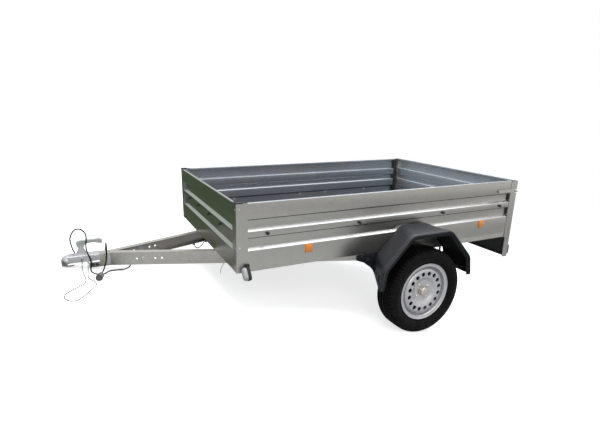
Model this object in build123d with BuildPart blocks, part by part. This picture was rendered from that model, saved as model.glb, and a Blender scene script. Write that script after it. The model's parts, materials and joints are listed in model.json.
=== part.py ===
from build123d import *

import os
from math import asin, atan2, cos, hypot, pi, radians, sin, tan

os.makedirs("parts", exist_ok=True)

# Single-axle box trailer with a V drawbar. Millimetres.
# Lengths, widths and heights below are in the trailer's own level frame:
# x forward from the load box's front face, y to the left, z up from the walls' lower edge.

# Load box
box_length = 2065
box_width = 1300
wall_height = 380
wall_sheet = 1.5
swage_depth = 18
half_width = box_width / 2
corner_leg = 64
post_sheet = 2

# Tail, from the walls' rear ends to the lamps
tail_front = -box_length + 20
tail_depth = 60
tail_rear = tail_front - tail_depth
lamp_depth = 42
lamp_edge = 8
lamp_width = 220
lamp_height = 72
lamp_y = 530
lamp_z = -144
board_inset = 3

# Wheels
wheel_x = -1145
wheel_z = -226
tyre_radius = 273
tyre_width = 157
rim_centre_y = 786.5
rim_half_width = 63.5
flange_radius = 182.5
bead_radius = 165
well_radius = 147
rim_sheet = 3

# Drawbar
beam_height = 80
beam_flange = 40
beam_sheet = 3
beam_top = -3
nose_half = 29.4
nose_start = 585
nose_end = 705
beam_end = -985
beam_spread = 0.36

# Coupling
ball_x = 815
ball_z = -32
ball_radius = 25
head_radius = 35
head_floor = -60


# How it stands: nose down, on both tyres and on the front lower rim of the coupling.
nose_reach = ball_x + head_radius - wheel_x
nose_rise = head_floor - wheel_z
pitch = asin(tyre_radius / hypot(nose_reach, nose_rise)) + atan2(nose_rise, nose_reach)

# The origin is on the ground under the middle of the whole length, which reaches from the
# front of the coupling's ball head to the lower rear edge of the lamps.
front_x = (ball_x - wheel_x) * cos(pitch) + (ball_z - wheel_z) * sin(pitch) + head_radius
lamp_rear = tail_rear + board_inset - lamp_depth
lamp_low = lamp_z - lamp_height / 2 + lamp_edge
rear_x = (lamp_rear - wheel_x) * cos(pitch) + (lamp_low - wheel_z) * sin(pitch)
wheel_row_x = -(front_x + rear_x) / 2


def stand(x, y, z):
    """Position, as the trailer stands, of a point given in its level frame."""
    forward = x - wheel_x
    rise = z - wheel_z
    return Vector(
        wheel_row_x + forward * cos(pitch) + rise * sin(pitch),
        y,
        tyre_radius - forward * sin(pitch) + rise * cos(pitch),
    )


chassis = Plane(
    origin=stand(0, 0, 0),
    x_dir=(cos(pitch), 0, -sin(pitch)),
    z_dir=(sin(pitch), 0, cos(pitch)),
)


def seat(plane):
    """A plane of the level frame, as the trailer stands."""
    return Plane(chassis.location * plane.location)


def level(z):
    """Plane at height z: local x forward, local y to the left."""
    return seat(Plane(origin=(0, 0, z)))


def along(y):
    """Upright plane along the trailer at width y, facing right: local x forward, local y up."""
    return seat(Plane(origin=(0, y, 0), x_dir=(1, 0, 0), z_dir=(0, -1, 0)))


def across(x):
    """Upright plane across the trailer at length x, facing forward: local x left, local y up."""
    return seat(Plane(origin=(x, 0, 0), x_dir=(0, 1, 0), z_dir=(1, 0, 0)))


def save(piece, name):
    """Labels a finished piece and writes its STEP file."""
    piece.part.label = name
    export_step(piece.part, "parts/" + name + ".step")


# ---------------------------------------------------------------- load box walls

# Folds of every wall, from its lower edge up: height, depth in from the outer face.
wall_folds = [
    (0, 24),
    (0, 0),
    (118, 0),
    (131, swage_depth),
    (188, swage_depth),
    (190, 0),
    (224, 0),
    (237, swage_depth),
    (289, swage_depth),
    (291, 0),
    (wall_height, 0),
    (wall_height, 16),
    (wall_height - 12, 16),
]


def wall(plane, length, foot=0, foot_depth=24):
    """Roll-formed wall, extruded from a plane whose local x points into the load box."""
    folds = [(foot, foot_depth), (foot, 0)] + wall_folds[2:]
    points = [(depth, height) for height, depth in folds]
    with BuildPart() as panel:
        with BuildSketch(plane):
            with BuildLine() as fold_line:
                Polyline(*points)
                offset(amount=wall_sheet, side=Side.RIGHT, kind=Kind.INTERSECTION)
            make_face()
        extrude(amount=length)
    return panel


side_length = box_length - corner_leg - 24
left_plane = seat(Plane(origin=(-corner_leg, half_width, 0), x_dir=(0, -1, 0), z_dir=(-1, 0, 0)))
side_wall_left = wall(left_plane, side_length)
save(side_wall_left, "side_wall_left")

with BuildPart() as side_wall_right:
    mirror(side_wall_left.part, about=Plane.XZ)
save(side_wall_right, "side_wall_right")

front_span = box_width - 2 * corner_leg
front_plane = seat(Plane(origin=(0, -front_span / 2, 0), x_dir=(-1, 0, 0), z_dir=(0, 1, 0)))
front_wall = wall(front_plane, front_span)
save(front_wall, "front_wall")

# Front corner posts: L sections that close the corner and carry both walls' ends.
with BuildPart() as front_post_left:
    with BuildSketch(level(0)):
        with BuildLine():
            Polyline((-corner_leg, half_width), (0, half_width), (0, half_width - corner_leg))
            offset(amount=post_sheet, side=Side.RIGHT, kind=Kind.INTERSECTION)
        make_face()
    extrude(amount=wall_height)
save(front_post_left, "front_post_left")

with BuildPart() as front_post_right:
    mirror(front_post_left.part, about=Plane.XZ)
save(front_post_right, "front_post_right")

# ---------------------------------------------------------------- tail

post_foot = -190
post_top = 376
post_web = 3
post_flange = 35
post_step = 12
post_step_z = -38
hinge_x = tail_rear + 15
hinge_z = 22
latch_x = tail_rear + 11
latch_z = 303

# Rear posts: angle sections from the lamp board's lower edge to the walls' top, flat and
# narrower below the rails, with a bearing hole for the tailgate and a slot that its latch
# pin swings out of.
pivot_radius = 6
pivot_play = 0.05
pin_radius = 5
pin_play = 6.5
with BuildPart() as rear_post_left:
    with BuildSketch(level(post_foot)):
        with BuildLine():
            Polyline(
                (tail_rear, half_width),
                (tail_front, half_width),
                (tail_front, half_width - post_flange),
            )
            offset(amount=post_web, side=Side.RIGHT, kind=Kind.INTERSECTION)
        make_face()
    extrude(amount=post_top - post_foot)
    with BuildSketch(along(half_width + 1)):
        with Locations((hinge_x, hinge_z)):
            Circle(pivot_radius + pivot_play)
        with Locations((latch_x, latch_z)):
            Circle(pin_radius + pin_play)
        with Locations((latch_x - 15, latch_z)):
            Rectangle(30, 2 * (pin_radius + pin_play))
    extrude(amount=post_web + 2, mode=Mode.SUBTRACT)
    with BuildSketch(level(post_foot - 1)):
        with Locations((tail_front - post_step / 2 + 1, half_width - post_flange / 2)):
            Rectangle(post_step + 2, post_flange + 2)
    extrude(amount=post_step_z - post_foot + 1, mode=Mode.SUBTRACT)
save(rear_post_left, "rear_post_left")

with BuildPart() as rear_post_right:
    mirror(rear_post_left.part, about=Plane.XZ)
save(rear_post_right, "rear_post_right")

# Tailgate: a wall between the posts, on two pivot pins, with a latch pin at each top corner.
gate_gap = 7
gate_depth = 24
end_plate = 2
hinge_reach = 4
latch_reach = 14
gate_half = half_width - post_web - gate_gap
gate_foot = hinge_z - 12
gate_face = tail_rear + 2
gate_plane = seat(Plane(origin=(gate_face, gate_half, 0), x_dir=(1, 0, 0), z_dir=(0, -1, 0)))
tailgate_sheet = wall(gate_plane, 2 * gate_half, gate_foot, gate_depth)
with BuildPart() as tailgate:
    add(tailgate_sheet.part)
    # End plates close the folded section and carry the pins.
    with BuildSketch(along(gate_half)):
        with Locations((gate_face + gate_depth / 2, (gate_foot + wall_height) / 2)):
            Rectangle(gate_depth, wall_height - gate_foot)
    extrude(amount=end_plate)
    with BuildSketch(along(half_width + hinge_reach)):
        with Locations((hinge_x, hinge_z)):
            Circle(pivot_radius)
    extrude(amount=half_width + hinge_reach - gate_half)
    with BuildSketch(along(half_width + latch_reach)):
        with Locations((latch_x, latch_z)):
            Circle(pin_radius)
    extrude(amount=half_width + latch_reach - gate_half)
    mirror(about=Plane.XZ)
save(tailgate, "tailgate")

# Lamp board under the floor, between the posts: sheet folded forward along both edges.
board_top = -6
board_foot = post_foot + 4
board_fold = 22
board_sheet = 2
board_face = tail_rear + board_inset
board_half = half_width - post_web
with BuildPart() as lamp_board:
    with BuildSketch(along(board_half)):
        with BuildLine():
            Polyline(
                (board_face + board_fold, board_top),
                (board_face, board_top),
                (board_face, board_foot),
                (board_face + board_fold, board_foot),
            )
            offset(amount=board_sheet, side=Side.LEFT, kind=Kind.INTERSECTION)
        make_face()
    extrude(amount=2 * board_half)
save(lamp_board, "lamp_board")


def tail_lamp(side):
    """Combination lamp: a flat base, and on it a lens that narrows to a rounded face."""
    base_depth = 10
    with BuildPart() as lamp:
        with BuildSketch(across(board_face)):
            with Locations((side * lamp_y, lamp_z)):
                RectangleRounded(lamp_width, lamp_height, 14)
        extrude(amount=-base_depth)
        with BuildSketch(across(board_face - base_depth)):
            with Locations((side * lamp_y, lamp_z)):
                RectangleRounded(lamp_width - 8, lamp_height - 8, 12)
        extrude(amount=base_depth - lamp_depth, taper=5)
        rear = lamp.faces().sort_by(Axis(stand(0, 0, 0), chassis.x_dir))[0]
        fillet(rear.edges(), lamp_edge)
    return lamp


save(tail_lamp(1), "tail_lamp_left")
save(tail_lamp(-1), "tail_lamp_right")

# Triangular rear reflectors, point up, inboard of the lamps.
triangle_y = 330
triangle_side = 150
triangle_depth = 8
triangle_z = -138
with BuildPart() as rear_reflectors:
    with BuildSketch(across(board_face)):
        with Locations((triangle_y, triangle_z)):
            Triangle(a=triangle_side, b=triangle_side, c=triangle_side)
    extrude(amount=-triangle_depth)
    mirror(about=Plane.XZ)
save(rear_reflectors, "rear_reflectors")

# ---------------------------------------------------------------- floor and frame

rail_height = 32
rail_flange = 35
rail_sheet = 2.5
rail_face = half_width - 2
rail_front = -940
rail_rear = -box_length + 24
floor_sheet = 9

with BuildPart() as floor_panel:
    with BuildSketch(level(wall_sheet)):
        with Locations((-box_length / 2 + 9, 0)):
            Rectangle(box_length - 26, box_width - 8)
    extrude(amount=floor_sheet)
save(floor_panel, "floor_panel")


def channel(plane, height, flange, sheet, length):
    """C section with its web on local x = 0, opening towards +x, hanging down from local y = 0."""
    with BuildPart() as member:
        with BuildSketch(plane):
            with BuildLine():
                Polyline((flange, 0), (0, 0), (0, -height), (flange, -height))
                offset(amount=sheet, side=Side.LEFT, kind=Kind.INTERSECTION)
            make_face()
        extrude(amount=length)
    return member


# Side rails: behind the drawbar's end only, where they carry the axle.
rail_plane = seat(Plane(origin=(rail_front, rail_face, 0), x_dir=(0, -1, 0), z_dir=(-1, 0, 0)))
side_rail_left = channel(rail_plane, rail_height, rail_flange, rail_sheet, rail_front - rail_rear)
save(side_rail_left, "side_rail_left")

with BuildPart() as side_rail_right:
    mirror(side_rail_left.part, about=Plane.XZ)
save(side_rail_right, "side_rail_right")

member_half = rail_face - rail_flange
beam_y0 = nose_half + beam_spread * nose_start


def beam_face(x):
    """Half-width of the drawbar's outer faces at length x."""
    return beam_y0 - beam_spread * x


# Cross members between the rails: at the drawbar's end, behind the wheels and at the tail.
member_fronts = [beam_end, -1530, -2004]
with BuildPart() as cross_members:
    for front in member_fronts:
        member_plane = seat(
            Plane(origin=(front, -member_half, 0), x_dir=(-1, 0, 0), z_dir=(0, 1, 0))
        )
        member = channel(member_plane, rail_height, rail_flange, rail_sheet, 2 * member_half)
        add(member.part)
save(cross_members, "cross_members")

# ---------------------------------------------------------------- drawbar

web_hole = 6
web_hole_z = beam_top - beam_height / 2
web_holes = [302, 339, 405, 441]
beam_tail = beam_end - beam_flange
beam_plan = [(beam_tail, beam_face(beam_tail)), (nose_start, nose_half), (nose_end, nose_half)]

with BuildPart() as drawbar_beam_left:
    with BuildSketch(level(beam_top - beam_height)):
        with BuildLine():
            Polyline(*beam_plan)
            offset(amount=beam_sheet, side=Side.RIGHT, kind=Kind.INTERSECTION)
        make_face()
    extrude(amount=beam_height)
    for height in (beam_top - beam_height, beam_top - beam_sheet):
        with BuildSketch(level(height)):
            with BuildLine():
                Polyline(*beam_plan)
                offset(amount=beam_flange, side=Side.RIGHT, kind=Kind.INTERSECTION)
            make_face()
        extrude(amount=beam_sheet)
    # The flanges are trimmed clear of the other beam's, and the tail is cut square.
    split(bisect_by=Plane.XZ.offset(-1), keep=Keep.BOTTOM)
    split(bisect_by=across(beam_end), keep=Keep.TOP)
    for x in web_holes:
        web = seat(
            Plane(
                origin=(x, beam_face(x), web_hole_z),
                x_dir=(1, -beam_spread, 0),
                z_dir=(beam_spread, 1, 0),
            )
        )
        with Locations(web):
            Hole(web_hole, depth=10)
save(drawbar_beam_left, "drawbar_beam_left")

with BuildPart() as drawbar_beam_right:
    mirror(drawbar_beam_left.part, about=Plane.XZ)
save(drawbar_beam_right, "drawbar_beam_right")

# Coupling: a channel pressed from sheet, with flared skirts, that sits over the drawbar's
# nose and swells into the ball head. Two lugs on top carry the handle's pin.
coupling_tail = 645
coupling_half = 34
coupling_sheet = 3
coupling_skirt = -48
skirt_flare = 4
coupling_top = beam_top + coupling_sheet
lug_x = 738
lug_inner = 14
lug_sheet = 4
pin_z = 44
handle_pin = 5
coupling_bolts = [(667, -15), (690, -15)]
bolt_head = 9
bolt_height = 8
wire_lug = 12
wire_lugs = [(740, -12), (708, -34)]
with BuildPart() as coupling_body:
    with BuildSketch(across(coupling_tail)):
        with BuildLine():
            FilletPolyline(
                (-coupling_half - skirt_flare, coupling_skirt),
                (-coupling_half, coupling_skirt + 2 * skirt_flare),
                (-coupling_half, coupling_top),
                (coupling_half, coupling_top),
                (coupling_half, coupling_skirt + 2 * skirt_flare),
                (coupling_half + skirt_flare, coupling_skirt),
                radius=5,
            )
            offset(amount=coupling_sheet, side=Side.RIGHT)
        make_face()
    extrude(amount=ball_x - coupling_tail)
    # Ball head: a cup, thick at the crown, open below.
    with BuildSketch(along(0)):
        with BuildLine():
            Line((ball_x, head_floor), (ball_x + head_radius, head_floor))
            Line((ball_x + head_radius, head_floor), (ball_x + head_radius, ball_z))
            RadiusArc((ball_x + head_radius, ball_z), (ball_x, ball_z + head_radius), -head_radius)
            Line((ball_x, ball_z + head_radius), (ball_x, head_floor))
        make_face()
    revolve(axis=Axis(stand(ball_x, 0, 0), chassis.z_dir))
    with BuildSketch(along(0)):
        with BuildLine():
            Line((ball_x, head_floor - 1), (ball_x + ball_radius + 1, head_floor - 1))
            Line((ball_x + ball_radius + 1, head_floor - 1), (ball_x + ball_radius + 1, ball_z))
            RadiusArc(
                (ball_x + ball_radius + 1, ball_z),
                (ball_x, ball_z + ball_radius + 1),
                -(ball_radius + 1),
            )
            Line((ball_x, ball_z + ball_radius + 1), (ball_x, head_floor - 1))
        make_face()
    revolve(axis=Axis(stand(ball_x, 0, 0), chassis.z_dir), mode=Mode.SUBTRACT)
    # Lugs.
    for inner in (lug_inner, -lug_inner - lug_sheet):
        with BuildSketch(along(inner + lug_sheet)):
            with BuildLine():
                Polyline(
                    (lug_x - 26, coupling_top - 2),
                    (lug_x - 9, pin_z),
                    (lug_x + 9, pin_z),
                    (lug_x + 30, coupling_top - 2),
                    close=True,
                )
            make_face()
            with Locations((lug_x, pin_z)):
                Circle(9)
        extrude(amount=lug_sheet)
    # Heads of the bolts that clamp the coupling to the beams.
    with BuildSketch(along(coupling_half + bolt_height)):
        with Locations(*coupling_bolts):
            RegularPolygon(bolt_head, 6)
    extrude(amount=bolt_height)
    with BuildSketch(along(-coupling_half)):
        with Locations(*coupling_bolts):
            RegularPolygon(bolt_head, 6)
    extrude(amount=bolt_height)
    # Side lugs that the safety wire's ends are crimped in.
    for lug_place in wire_lugs:
        with BuildSketch(across(lug_place[0] - 5)):
            with Locations((coupling_half + wire_lug / 2 - 1, lug_place[1])):
                Rectangle(wire_lug, 9)
        extrude(amount=10)
        with BuildSketch(across(lug_place[0] - 5)):
            with Locations((-coupling_half - wire_lug / 2 + 1, lug_place[1])):
                Rectangle(wire_lug, 9)
        extrude(amount=10)
    with BuildSketch(along(lug_inner + lug_sheet + 2)):
        with Locations((lug_x, pin_z)):
            Circle(handle_pin)
    extrude(amount=2 * (lug_inner + lug_sheet + 2))
save(coupling_body, "coupling_body")

# Coupling handle: a pressed channel, open below, that turns on the pin between the lugs
# and runs back over the drawbar to a rounded grip with an oval eye.
grip_x = 618
handle_z = 66
handle_rise = 18
handle_sheet = 3
handle_half = 13
handle_nose = 762
neck_half = 10
with BuildPart() as coupling_handle:
    with BuildSketch(along(handle_half)):
        with BuildLine():
            FilletPolyline(
                (grip_x, handle_z - 10),
                (grip_x + 26, handle_z - 6),
                (grip_x + 50, handle_z),
                (lug_x - 26, handle_z),
                (lug_x - neck_half, pin_z - 10),
                (lug_x + neck_half, pin_z - 10),
                (handle_nose, handle_z - 14),
                (handle_nose, handle_z + handle_rise - 8),
                (lug_x, handle_z + handle_rise),
                (grip_x + 26, handle_z + handle_rise),
                (grip_x, handle_z + handle_rise - 5),
                radius=3,
                close=True,
            )
        make_face()
    extrude(amount=2 * handle_half)
    # The grip is round in plan.
    with BuildSketch(level(0)):
        with Locations(((grip_x + handle_nose + handle_half) / 2, 0)):
            SlotOverall(handle_nose + handle_half - grip_x, 2 * handle_half)
    extrude(amount=handle_z + 40, mode=Mode.INTERSECT)
    with BuildSketch(along(handle_half - handle_sheet)):
        with BuildLine():
            Polyline(
                (grip_x + handle_sheet, handle_z - 30),
                (grip_x + handle_sheet, handle_z + handle_rise - 8),
                (grip_x + 26, handle_z + handle_rise - handle_sheet),
                (lug_x - 34, handle_z + handle_rise - handle_sheet),
                (lug_x - 34, handle_z - 30),
                close=True,
            )
        make_face()
    extrude(amount=2 * (handle_half - handle_sheet), mode=Mode.SUBTRACT)
    with BuildSketch(level(handle_z + handle_rise + 1)):
        with Locations((grip_x + 20, 0)):
            SlotOverall(22, 10)
    extrude(amount=-12, mode=Mode.SUBTRACT)
    with Locations(seat(Plane(origin=(lug_x, 0, pin_z), x_dir=(1, 0, 0), z_dir=(0, 1, 0)))):
        Hole(handle_pin, depth=2 * handle_half)
save(coupling_handle, "coupling_handle")

# ---------------------------------------------------------------- axle

axle_x = -1030
axle_z = -120
axle_side = 60
axle_wall = 4
axle_half = 640
arm_inner = 660
arm_sheet = 28
stub_radius = 15
stub_end = rim_centre_y + 58

with BuildPart() as axle_tube:
    with BuildSketch(along(axle_half)):
        with Locations((axle_x, axle_z)):
            RectangleRounded(axle_side, axle_side, 8)
            Rectangle(axle_side - 2 * axle_wall, axle_side - 2 * axle_wall, mode=Mode.SUBTRACT)
    extrude(amount=2 * axle_half)
save(axle_tube, "axle_tube")


def swing_arm():
    """Left arm: trails from the tube's end to the wheel centre and carries the stub axle."""
    with BuildPart() as arm:
        with BuildSketch(along(arm_inner + arm_sheet)):
            with Locations((axle_x, axle_z)):
                Circle(32)
            with Locations((wheel_x, wheel_z)):
                Circle(24)
            make_hull()
        extrude(amount=arm_sheet)
        with BuildSketch(along(arm_inner)):
            with Locations((axle_x, axle_z)):
                Circle(22)
        extrude(amount=arm_inner - axle_half + 60)
        with BuildSketch(along(stub_end)):
            with Locations((wheel_x, wheel_z)):
                Circle(stub_radius)
        extrude(amount=stub_end - arm_inner)
    return arm


swing_arm_left = swing_arm()
save(swing_arm_left, "swing_arm_left")

with BuildPart() as swing_arm_right:
    mirror(swing_arm_left.part, about=Plane.XZ)
save(swing_arm_right, "swing_arm_right")

# Brackets that hang the axle tube from the side rails.
bracket_length = 92
bracket_depth = axle_z + axle_side / 2
with BuildPart() as axle_bracket_left:
    with BuildSketch(along(rail_face - 4)):
        with BuildLine():
            Polyline(
                (axle_x - bracket_length / 2, -rail_height),
                (axle_x + bracket_length / 2, -rail_height),
                (axle_x + axle_side / 2 + 6, bracket_depth - 34),
                (axle_x + axle_side / 2, bracket_depth - 34),
                (axle_x + axle_side / 2, bracket_depth),
                (axle_x - axle_side / 2, bracket_depth),
                (axle_x - axle_side / 2, bracket_depth - 34),
                (axle_x - axle_side / 2 - 6, bracket_depth - 34),
                close=True,
            )
        make_face()
    extrude(amount=6)
save(axle_bracket_left, "axle_bracket_left")

with BuildPart() as axle_bracket_right:
    mirror(axle_bracket_left.part, about=Plane.XZ)
save(axle_bracket_right, "axle_bracket_right")

# ---------------------------------------------------------------- wheels

wheel_plane = Plane(origin=stand(wheel_x, 0, wheel_z), x_dir=(0, 1, 0), z_dir=(1, 0, 0))
wheel_axis = Axis(stand(wheel_x, 0, wheel_z), (0, 1, 0))
mount_y = rim_centre_y + 30
nave_radius = 66
ring_y = rim_centre_y + 50
disc_sheet = 4
hole_circle = 116
hand_holes = 16
hand_hole = 13.5
bolt_circle = 49
bolt_count = 4
bolt_radius = 6
bore_radius = 29
hub_radius = 28
hub_flange = 62
hub_depth = 70
cap_length = 34
cap_edge = 8
cap_face = 3
wheel_bolt = 9.5
wheel_bolt_height = 9
stub_play = 0.05

# Tyre section, one half from the bead to the tread: width from the rim's centre, radius.
tyre_section = [
    (rim_half_width - 10, bead_radius + 0.4),
    (rim_half_width - 10, flange_radius + 1.5),
    (tyre_width / 2, 226),
    (71, 257),
    (50, tyre_radius),
]

# Rim section over its whole width: width from the rim's centre, radius.
rim_section = [
    (rim_half_width, flange_radius - 3),
    (rim_half_width - 6, flange_radius - 1),
    (rim_half_width - 9, bead_radius),
    (32, bead_radius - 3),
    (22, well_radius),
    (-14, well_radius),
    (-26, bead_radius - 3),
    (9 - rim_half_width, bead_radius),
    (6 - rim_half_width, flange_radius - 1),
    (-rim_half_width, flange_radius - 3),
]


def wheel_tyre():
    """Tyre: a ring seated on the rim's bead seats."""
    with BuildPart() as tyre:
        with BuildSketch(wheel_plane):
            with BuildLine():
                outboard = [(rim_centre_y + width, radius) for width, radius in tyre_section]
                inboard = [(rim_centre_y - width, radius) for width, radius in tyre_section]
                Polyline(*outboard, *reversed(inboard), close=True)
            make_face()
        revolve(axis=wheel_axis)
    return tyre


def wheel_rim():
    """Steel rim: a well base rolled from sheet, and the dished disc with round hand holes."""
    with BuildPart() as rim:
        with BuildSketch(wheel_plane):
            with BuildLine():
                Polyline(*[(rim_centre_y + width, radius) for width, radius in rim_section])
                offset(amount=rim_sheet, side=Side.LEFT, kind=Kind.INTERSECTION)
            make_face()
        revolve(axis=wheel_axis)
        with BuildSketch(wheel_plane):
            with BuildLine():
                Polyline(
                    (rim_centre_y + 12, well_radius - 1),
                    (rim_centre_y + 28, well_radius - 1),
                    (ring_y, hole_circle + 20),
                    (ring_y + 2, hole_circle - 18),
                    (mount_y + disc_sheet, nave_radius + 6),
                    (mount_y + disc_sheet, bore_radius),
                )
                offset(amount=disc_sheet, side=Side.RIGHT, kind=Kind.INTERSECTION)
            make_face()
        revolve(axis=wheel_axis)
        with BuildSketch(Plane(origin=stand(wheel_x, ring_y + 12, wheel_z), z_dir=(0, -1, 0))):
            with PolarLocations(hole_circle, hand_holes):
                Circle(hand_hole)
            with PolarLocations(bolt_circle, bolt_count, start_angle=45):
                Circle(bolt_radius + 0.5)
        extrude(amount=40, mode=Mode.SUBTRACT)
    return rim


def wheel_hub():
    """Hub: flange behind the disc, barrel round the stub, four bolt heads and a grease cap."""
    with BuildPart() as hub:
        with BuildSketch(wheel_plane):
            with BuildLine():
                Polyline(
                    (mount_y, stub_radius + stub_play),
                    (mount_y, hub_flange),
                    (mount_y - 10, hub_flange),
                    (mount_y - 16, hub_radius + 6),
                    (mount_y - hub_depth, hub_radius + 2),
                    (mount_y - hub_depth, stub_radius + stub_play),
                    close=True,
                )
            make_face()
        revolve(axis=wheel_axis)
        with BuildSketch(wheel_plane):
            with BuildLine():
                Polyline(
                    (mount_y, stub_radius + stub_play),
                    (mount_y, hub_radius),
                    (mount_y + cap_length - cap_edge, hub_radius),
                    (mount_y + cap_length, hub_radius - cap_edge),
                    (mount_y + cap_length, 0),
                    (mount_y + cap_length - cap_face, 0),
                    (mount_y + cap_length - cap_face, stub_radius + stub_play),
                    close=True,
                )
            make_face()
        revolve(axis=wheel_axis)
        bolt_plane = Plane(origin=stand(wheel_x, mount_y, wheel_z), z_dir=(0, 1, 0))
        with BuildSketch(bolt_plane.offset(disc_sheet)):
            with PolarLocations(bolt_circle, bolt_count, start_angle=45):
                RegularPolygon(wheel_bolt, 6)
        extrude(amount=wheel_bolt_height)
        with BuildSketch(bolt_plane.offset(-2)):
            with PolarLocations(bolt_circle, bolt_count, start_angle=45):
                Circle(bolt_radius)
        extrude(amount=disc_sheet + 4)
    return hub


wheel_pieces = [("tyre", wheel_tyre()), ("rim", wheel_rim()), ("hub", wheel_hub())]
for name, left_piece in wheel_pieces:
    save(left_piece, name + "_left")
    with BuildPart() as right_piece:
        mirror(left_piece.part, about=Plane.XZ)
    save(right_piece, name + "_right")

# ---------------------------------------------------------------- mudguards

guard_x = -1135
guard_sheet = 3
guard_inner = half_width
guard_flange = 9
guard_outer = 880
guard_lip = 26
guard_bend = 50

# Half of the arch's outer line, from the skirt's foot to the crown: distance from guard_x,
# height, and how far each moves out and up per millimetre that the line is raised.
guard_arch = [
    (347, -150, 1, 0),
    (327, -30, 1, 0.3),
    (150, 156, 0.4, 1),
]

# The front half of the line where the guard meets the wall: it tapers in from the ridge.
guard_root = [(231, -150), (250, -30), (62, 156)]

# Plate under the wall's edge that closes the guard's front corner: distance from guard_x, height.
guard_gusset = [
    (200, -1),
    (379, -1),
    (375, -34),
    (324, -54),
    (293, -75),
    (267, -94),
    (248, -115),
    (231, -150),
    (200, -150),
]


def raised(rise):
    """Half of the arch's line, raised by so much from the plain skin."""
    return [(reach + rise * out, height + rise * up) for reach, height, out, up in guard_arch]


def arch_line(front, rear):
    """A whole arch's line, from two halves given as distances from guard_x and heights."""
    line = [(guard_x + reach, height) for reach, height in front]
    return line + [(guard_x - reach, height) for reach, height in reversed(rear)]


# Ribs of the guard's section: from width, to width, rise of its outer face, depth below it.
ridge_rise = 6
ridge_width = 32
guard_bands = [
    (guard_outer - ridge_width, guard_outer, ridge_rise, guard_sheet),
    (
        guard_outer - ridge_width,
        guard_outer - ridge_width + guard_sheet,
        ridge_rise,
        ridge_rise + guard_sheet,
    ),
    (guard_outer - guard_sheet, guard_outer, ridge_rise, guard_lip + ridge_rise),
]
skin_edge = guard_outer - ridge_width + guard_sheet / 2

with BuildPart() as mudguard_left:
    # Skin, from the wall out to the ridge.
    for width, front in ((guard_inner, guard_root), (skin_edge, raised(0))):
        with BuildSketch(along(width)):
            with BuildLine():
                FilletPolyline(*arch_line(front, raised(0)), radius=guard_bend)
                offset(amount=guard_sheet, side=Side.LEFT)
            make_face()
    loft(ruled=True)
    # Flange along the wall.
    with BuildSketch(along(guard_inner + guard_sheet)):
        with BuildLine():
            FilletPolyline(*arch_line(guard_root, raised(0)), radius=guard_bend)
            offset(amount=guard_flange, side=Side.LEFT)
        make_face()
    extrude(amount=guard_sheet)
    for start, end, rise, depth in guard_bands:
        with BuildSketch(along(end)):
            with BuildLine():
                FilletPolyline(*arch_line(raised(rise), raised(rise)), radius=guard_bend + rise)
                offset(amount=depth, side=Side.LEFT)
            make_face()
        extrude(amount=end - start)
    with BuildSketch(along(guard_inner + guard_sheet)):
        with BuildLine():
            Polyline(*[(guard_x + reach, height) for reach, height in guard_gusset], close=True)
        make_face()
    extrude(amount=guard_sheet)
save(mudguard_left, "mudguard_left")

with BuildPart() as mudguard_right:
    mirror(mudguard_left.part, about=Plane.XZ)
save(mudguard_right, "mudguard_right")

# Stays of each guard: in front a bar from the drawbar's beam out to the gusset, behind a bar
# that hangs from the side rail, with a tab that meets the skirt.
stay_radius = 5
front_stay_reach = 285
front_stay_z = -45
rear_stay_reach = 305
rear_stay_z = -112
hanger_width = 8
tab_width = 22
foot_reach, foot_z = guard_arch[0][:2]
knee_reach, knee_z = guard_arch[1][:2]
skirt_lean = (foot_reach - knee_reach) / (knee_z - foot_z)


def skirt_inside(z):
    """Distance from guard_x to the rear skirt's inner face at height z."""
    return foot_reach - skirt_lean * (z - foot_z) - guard_sheet * hypot(1, skirt_lean)


front_stay_x = guard_x + front_stay_reach
rear_stay_x = guard_x - rear_stay_reach
stay_low = rear_stay_z - stay_radius
stay_high = rear_stay_z + stay_radius
stay_end = guard_outer - 45
with BuildPart() as mudguard_stays:
    with BuildSketch(along(guard_inner)):
        with Locations((front_stay_x, front_stay_z)):
            Circle(stay_radius)
    extrude(amount=guard_inner - beam_face(front_stay_x - stay_radius))
    with BuildSketch(along(stay_end)):
        with Locations((rear_stay_x, rear_stay_z)):
            Circle(stay_radius)
    extrude(amount=stay_end - rail_face + hanger_width + 4)
    with BuildSketch(along(stay_end)):
        with BuildLine():
            Polyline(
                (rear_stay_x, stay_low),
                (guard_x - skirt_inside(stay_low), stay_low),
                (guard_x - skirt_inside(stay_high), stay_high),
                (rear_stay_x, stay_high),
                close=True,
            )
        make_face()
    extrude(amount=tab_width)
    with BuildSketch(level(stay_low)):
        with Locations((rear_stay_x, rail_face - hanger_width)):
            Rectangle(2 * stay_radius, hanger_width)
    extrude(amount=-rail_height - stay_low)
    mirror(about=Plane.XZ)
save(mudguard_stays, "mudguard_stays")

# ---------------------------------------------------------------- small fittings

# Tarpaulin knobs on the middle band: places along the sides and across the front.
knob_z = 206
knob_radius = 7
knob_height = 12
side_knobs = [-175, -765, -1420, -1950]
front_knobs = [-375, -125, 125, 375]

with BuildPart() as tarp_knobs:
    with BuildSketch(along(half_width)):
        with Locations(*[(x, knob_z) for x in side_knobs]):
            Circle(knob_radius)
    extrude(amount=-knob_height)
    mirror(about=Plane.XZ)
    with BuildSketch(across(0)):
        with Locations(*[(y, knob_z) for y in front_knobs]):
            Circle(knob_radius)
    extrude(amount=knob_height)
save(tarp_knobs, "tarp_knobs")

# Amber side reflectors on the lower band.
reflector_side = 50
reflector_depth = 6
reflector_z = 90
reflector_places = [-431, -1791]
with BuildPart() as side_reflectors:
    with BuildSketch(along(half_width)):
        with Locations(*[(x, reflector_z) for x in reflector_places]):
            RectangleRounded(reflector_side, reflector_side, 5)
    extrude(amount=-reflector_depth)
    mirror(about=Plane.XZ)
save(side_reflectors, "side_reflectors")

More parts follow.
